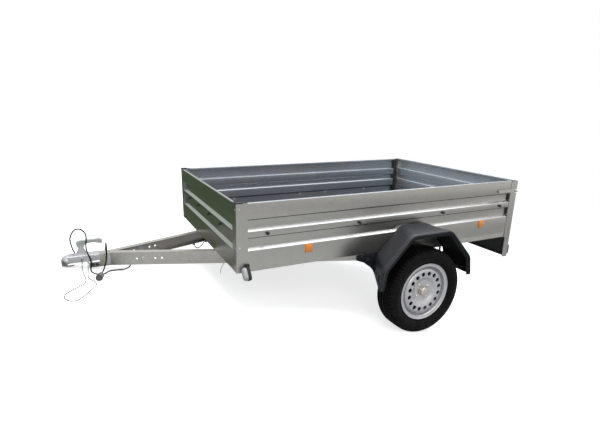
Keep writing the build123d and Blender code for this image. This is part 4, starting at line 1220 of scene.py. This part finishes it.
def fold_numbers(middle, way, base):
    """Material numbers of a wall section's edges: 1 for the lip and 5 for the top; 2 for the
    outer slopes, that go inward as they rise, and 4 for their inner sides; 3 for the inner
    shelf; else base."""
    # The slopes, their inner sides, the shelf and the top are numbered apart so that they get copies of
    # the zinc with painted highlight, painted shade and painted reflection.
    depth, height = middle.T
    slope = (way[:, 0] * way[:, 1] > SLOPE_LEAST) & within(height, SLOPE_BAND)
    shelf = (abs(height - SHELF) < SHELF_NEAR) & (abs(way[:, 0]) > SHELF_FLAT) & (base == 1)
    lip = (height > LIP_FOOT) & (depth > LIP_DEPTH)
    top = (height > TOP_FOOT) & (base == 0)
    return np.select([lip, top, shelf, slope], [1, 5, 3, 4 if base else 2], base)


def folded_wall(length, origin, first, second, third, foot=0.0):
    """Wall section carried along its third way from an origin."""
    stations = np.linspace(0, length, 5)
    return drawn_out(wall_section(foot), stations, seated(origin, first, second, third), fold_numbers)


class TRAILER_OT_walls(bpy.types.Operator):
    """Folded side walls, front wall and corner posts"""

    bl_idname = "trailer.walls"
    bl_label = "Walls"

    def execute(self, context):
        backward, inward = (-1, 0, 0), (0, -1, 0)
        side = folded_wall(SIDE_LENGTH, (SIDE_START, HALF_WIDTH, 0), inward, Z_WAY, backward)
        # Side wall: painted shade under the creases, painted sky reflection on the inner faces and top,
        # painted highlight on the outer slopes and inner shelf, painted shade on the slopes' inner sides.
        finish = ["side_zinc", "inner_zinc", "bright_fold", "shelf_zinc", "shaded_fold", "inner_zinc"]
        make_pair("side_sheet_", side, finish, "wall_galvanised", "side_wall_")
        front = folded_wall(FRONT_LENGTH, (0, -FRONT_LENGTH / 2, 0), backward, Z_WAY, Y_WAY)
        # Front wall: painted green reflection on the outer slopes and top, painted sky reflection on the
        # inner faces, painted highlight on the inner shelf, painted shade on the slopes' inner sides.
        finish = ["wall_zinc", "inner_zinc", "front_fold", "shelf_zinc", "shaded_fold", "front_fold"]
        make("front_sheet", front, finish, "chassis", "wall_galvanised", ["front_wall"])
        corner = sheet_section(table(POST_LINE) * MM, POST_SHEET, POST_BEND)
        post = drawn_out(corner, [0.0, WALL_TOP], seated((0, 0, 0), *UP))
        make_pair("corner_post_", post, finish[:2], "wall_galvanised", "front_post_")
        return {"FINISHED"}


# ---- tailgate and lamps

# The gate's face, half-width and foot, its end plate, and its hinge pin and latch pin: each an
# (x, z), the ends along y and the radius.
GATE_FACE, GATE_HALF, GATE_FOOT = -2.103, 0.640, 0.010
GATE_END = "-2091 639 195 24 2 370"
GATE_PINS = (((-2.090, 0.022), 0.6385, 0.654, 0.006), ((-2.094, 0.303), 0.6385, 0.664, 0.005))


def pin(place, low, high, radius):
    """Round pin along y, at a level (x, z), with eased ends."""
    ease = 0.15 * radius
    line = [(0, low), (radius - ease, low), (radius, low + ease)]
    line += [(radius, high - ease), (radius - ease, high), (0, high)]
    return copies(turned(line, 28), [(place[0], 0.0, place[1])], *OUT)


class TRAILER_OT_tailgate(bpy.types.Operator):
    """Folded tailgate with end plates, hinge pins and latch pins"""

    bl_idname = "trailer.tailgate"
    bl_label = "Tailgate"

    def execute(self, context):
        start = (GATE_FACE, GATE_HALF, 0)
        sheet = folded_wall(2 * GATE_HALF, start, X_WAY, Z_WAY, (0, -1, 0), GATE_FOOT)
        ends = both(boxes(GATE_END) + [pin(*row) for row in GATE_PINS])
        # Tailgate: painted sky reflection on the inner faces, the slopes' inner sides and the top, and
        # painted highlight on the outer slopes and inner shelf.
        finish = ["wall_zinc", "gate_zinc", "bright_fold", "shelf_zinc", "gate_zinc", "gate_zinc"]
        make("gate_sheet", sheet + ends, finish, "tailgate", "wall_galvanised", ["tailgate"])
        return {"FINISHED"}


# The left tail lamp: its black base and body, and its lenses side by side from the outside in,
# with the number of each one's finish.
LAMP_BOXES = """
-2107 530 -144 10 220 72, -2124 530 -144 28 214 68, -2137.5 608.5 -144 11 48 54,
-2137.5 550 -144 11 64 54, -2137.5 482 -144 11 64 54, -2137.5 438 -144 11 18 54
"""
LAMP_NUMBERS = (3, 3, 0, 1, 1, 2)
# The front position lamp leans outward: its place, its size with its corners' radius, the
# insets and levels of its cup and of its lens with the rise of the lens's middle, and the mount
# and stem that hold it.
MARKER, MARKER_LEAN = (-0.042, 0.688, 0.006), math.radians(40.0)
MARKER_SIZE = (0.042, 0.076, 0.0203)
CUP_LAYERS = "6 -20, 2 -18.5, 0.5 -14, 0 -4, 0 -0.5, 1 0"
LENS_LAYERS = "2.5 0, 2.2 8, 3 10.5, 2.6 13, 4.6 16, 4.4 17.8, 8 20.8, 12.5 23, 16.5 23.8"
LENS_RISE = 0.2 * MM
MARKER_MOUNT = "-56 655.1 28 28 9.5 36"
STEM_LINE, STEM_PLACE = "0 0, 6 0, 6 4, 4 5.5, 0 5.5", "-60 659.9 38"
REFLECTORS = """
-431 651.5 90 50 2.8 50, -431 653.5 90 44 4.9 44, -1791 651.5 90 50 2.8 50,
-1791 653.5 90 44 4.9 44
"""


class TRAILER_OT_lamps(bpy.types.Operator):
    """Tail lamps, front position lamps and side reflectors"""

    bl_idname = "trailer.lamps"
    bl_label = "Lamps"

    def execute(self, context):
        finish = ["indicator_lens", "red_lens", "clear_lens", "black_plastic"]
        lamp = [(*part, number) for part, number in zip(boxes(LAMP_BOXES), LAMP_NUMBERS)]
        make_pair("tail_lens_", lamp, finish, "lamp_red", "tail_lamp_")
        cos, sin = math.cos(MARKER_LEAN), math.sin(MARKER_LEAN)
        seat = seated(MARKER, (0, cos, sin), (0, -sin, cos), X_WAY)
        cup, faces = stack(*MARKER_SIZE, table(CUP_LAYERS) * MM, 6)
        parts = [(seat(cup), faces), set_at(lathe(STEM_LINE, 20), STEM_PLACE, OUT)]
        parts += boxes(MARKER_MOUNT, 0.3)
        make_pair("marker_cup_", parts, ["black_plastic"], "black_plastic", "marker_lamp_")
        glass, faces = stack(*MARKER_SIZE, table(LENS_LAYERS) * MM, 6, LENS_RISE)
        glasses = mirrored((seat(glass), faces))
        make("marker_glass", glasses, ["pale_lens"], "chassis", "lamp_clear", ["marker_lenses"])
        parts, slot = both(boxes(REFLECTORS)), "reflector_amber"
        make("reflector_prisms", parts, ["amber_lens"], "chassis", slot, ["side_reflectors"])
        return {"FINISHED"}


# ---- fixings

# Lines that are turned into knobs, rivets and screws, and where they are, on the left side or
# on the front. Rivets hold the corner posts and the rear posts.
KNOB_LINE = """
0 0.2, 7.6 0.2, 7.6 1.4, 5.4 2.2, 5 4, 7 5, 9.2 6.2, 9.8 8.2, 9.2 10.2, 6.4 11.8, 3 12.3, 0 12.4
"""
RIVET_LINE = "4.6 0, 4.6 0.5, 3.6 1.5, 1.8 2.1, 0 2.3"
SCREW_LINE = "6 0, 5.8 0.9, 4.6 1.9, 2.2 2.5, 0 2.6"
SIDE_KNOBS = "-175 650 206, -765 650 206, -1420 650 206, -1950 650 206"
FRONT_KNOBS = "0 -375 206, 0 -125 206, 0 125 206, 0 375 206"
SIDE_RIVETS = "-18 650 349, -18 650 139, -2062 650 345, -2062 650 95"
FRONT_RIVETS = "0 -631 344, 0 -631 135, 0 631 344, 0 631 135, 0 -618 30, 0 618 30"
SCREW_ROWS = (-60, -520, -1020, -1540, -1985)
SCREW_COLUMNS, SCREW_LEVEL = (-600, -300, 0, 300, 600), 10.5
# Black caps on the front corners and on the rear posts, the rear posts' strips, and black
# blocks in the wall's recesses beside them, which are painted shade; and the lashing studs on
# the lower band of the side.
CAPS_AND_NOTCH_SHADE = """
-18 636.5 381.5 40 29 6, -2062 640 377.5 30 20 4, -2037.5 629.5 190 26 1.5 374,
-2041 634 160 18 3 47, -2041 634 263.5 18 3 47
"""
STUDS = """
-420 645.8 110 24 5.2 15, -1026 645.8 110 24 5.2 15, -1283 645.8 110 24 5.2 15,
-1700 645.8 110 24 5.2 15
"""
# The cable tie's tail under the left beam: its line, where it starts across, its width, sheet.
TIE_TAIL = "-60 -94, -52 -106, -38 -128, -34 -160"
TIE_START, TIE_WIDTH, TIE_SHEET, TIE_BEND = 0.222, 0.0045, 1.4 * MM, 30 * MM
# Each beam's face is BEAM_START out at the wall, less BEAM_SPREAD for each metre forward. Its
# bolt has a head outside, and a nut and a backing plate inside.
BEAM_START, BEAM_SPREAD, BOLT_X, BOLT_Z = 0.24, 0.36, 0.405, -0.043
BEAM_BOLT, NUT_SINK = (8.6, 7.5, 12.0), 0.006
PLATE_SIZE, PLATE_SINK, PLATE_BACK = (0.040, 0.066, 0.003), 0.0045, 0.007
# Dark bolts: size and places, at the coupling and at the guard's stay.
DARK_BOLTS = (
    ((7.0, 6.0, 9.5), "661 29.4 -67, 684 29.4 -66"),
    ((6.0, 5.0, 9.0), "-798 653 -14, -845 653 -40"),
)


def beam_bolts():
    """Bolt head outside, and nut and backing plate inside, on each of the drawbar's beams."""
    angle = math.atan(BEAM_SPREAD)
    outward = np.array([math.sin(angle), math.cos(angle), 0.0])
    along = np.array([math.cos(angle), -math.sin(angle), 0.0])
    place = np.array([BOLT_X, BEAM_START - BEAM_SPREAD * BOLT_X, BOLT_Z])
    backing = block((0, 0, 0), np.eye(3), PLATE_SIZE)
    parts = [copies(backing, [place - outward * PLATE_SINK - along * PLATE_BACK], along, Z_WAY, outward)]
    for part in bolt_head(*BEAM_BOLT):
        parts.append(copies(part, [place], along, Z_WAY, outward))
        parts.append(copies(part, [place - outward * NUT_SINK], along, Z_WAY, -outward))
    return both(parts)


class TRAILER_OT_fixings(bpy.types.Operator):
    """Knobs, rivets, corner caps, lashing studs, tie tail, screws and bolts"""

    bl_idname = "trailer.fixings"
    bl_label = "Fixings"

    def execute(self, context):
        knob, rivet, screw = lathe(KNOB_LINE, 20), lathe(RIVET_LINE, 12), lathe(SCREW_LINE, 14)
        knobs = mirrored(set_at(knob, SIDE_KNOBS, OUT)) + [set_at(knob, FRONT_KNOBS, AHEAD)]
        make("tarp_buttons", knobs, ["black_plastic"], "chassis", "black_plastic", ["tarp_knobs"])
        rivets = mirrored(set_at(rivet, SIDE_RIVETS, OUT)) + [set_at(rivet, FRONT_RIVETS, AHEAD)]
        tail = sheet_section(table(TIE_TAIL) * MM, TIE_SHEET, TIE_BEND)
        strip = drawn_out(tail, [0.0, TIE_WIDTH], seated((0, TIE_START, 0), *OUT))
        spots = [(x * MM, y * MM, SCREW_LEVEL * MM) for x in SCREW_ROWS for y in SCREW_COLUMNS]
        dark = [set_at(part, where, OUT) for size, where in DARK_BOLTS for part in bolt_head(*size)]
        for name, parts, finish in (
            ("box_rivets", rivets, "bright_bolt"),
            # The caps' piece also holds the black blocks of painted shade beside the rear posts.
            ("corner_caps_and_notch_shade", both(boxes(CAPS_AND_NOTCH_SHADE)), "black_plastic"),
            ("lashing_studs", both(boxes(STUDS)), "bright_bolt"),
            ("tie_tail", [part[:2] for part in strip], "black_plastic"),
            ("floor_screws", [copies(screw, spots, *UP)], "bright_bolt"),
            ("beam_bolts", beam_bolts(), "bright_bolt"),
            ("dark_bolts", both(dark), "dark_socket"),
        ):
            make(name, parts, [finish], "chassis")
        return {"FINISHED"}


# ---- finishes of the frame


class TRAILER_OT_finishes(bpy.types.Operator):
    """Every material, and the finish of every piece of the frame"""

    bl_idname = "trailer.finishes"
    bl_label = "Finishes"

    def execute(self, context):
        build_finishes(sizes())
        finishes = dict(row.split() for row in FINISH_OF_SLOT.split(","))
        for part in frame["record"]["subparts"]:
            materials = frame["nodes"][part["node"]].data.materials
            materials.clear()
            materials.append(bpy.data.materials[finishes[part["material_slot"]]])
        return {"FINISHED"}


# ---- add-on

OPERATORS = (
    TRAILER_OT_finishes,
    TRAILER_OT_cables,
    TRAILER_OT_walls,
    TRAILER_OT_tailgate,
    TRAILER_OT_wheels,
    TRAILER_OT_mudguards,
    TRAILER_OT_lamps,
    TRAILER_OT_fixings,
    TRAILER_OT_stage,
)


class TRAILER_PT_panel(bpy.types.Panel):
    """The trailer's pieces, and their sizes and colours"""

    bl_idname = "TRAILER_PT_panel"
    bl_label = "Trailer"
    bl_space_type = "VIEW_3D"
    bl_region_type = "UI"
    bl_category = "Trailer"

    def draw(self, context):
        for key in TrailerSizes.__annotations__:
            self.layout.prop(context.scene.trailer_sizes, key)
        for operator in OPERATORS:
            self.layout.operator(operator.bl_idname)


def register():
    for kind in (TrailerSizes, *OPERATORS, TRAILER_PT_panel):
        bpy.utils.register_class(kind)
    bpy.types.Scene.trailer_sizes = bpy.props.PointerProperty(type=TrailerSizes)


def unregister():
    del bpy.types.Scene.trailer_sizes
    for kind in reversed((TrailerSizes, *OPERATORS, TRAILER_PT_panel)):
        bpy.utils.unregister_class(kind)


def main():
    """Builds the trailer."""
    register()
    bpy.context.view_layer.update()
    for operator in OPERATORS:
        group_name, action = operator.bl_idname.split(".")
        getattr(getattr(bpy.ops, group_name), action)()


if __name__ == "__main__":
    main()
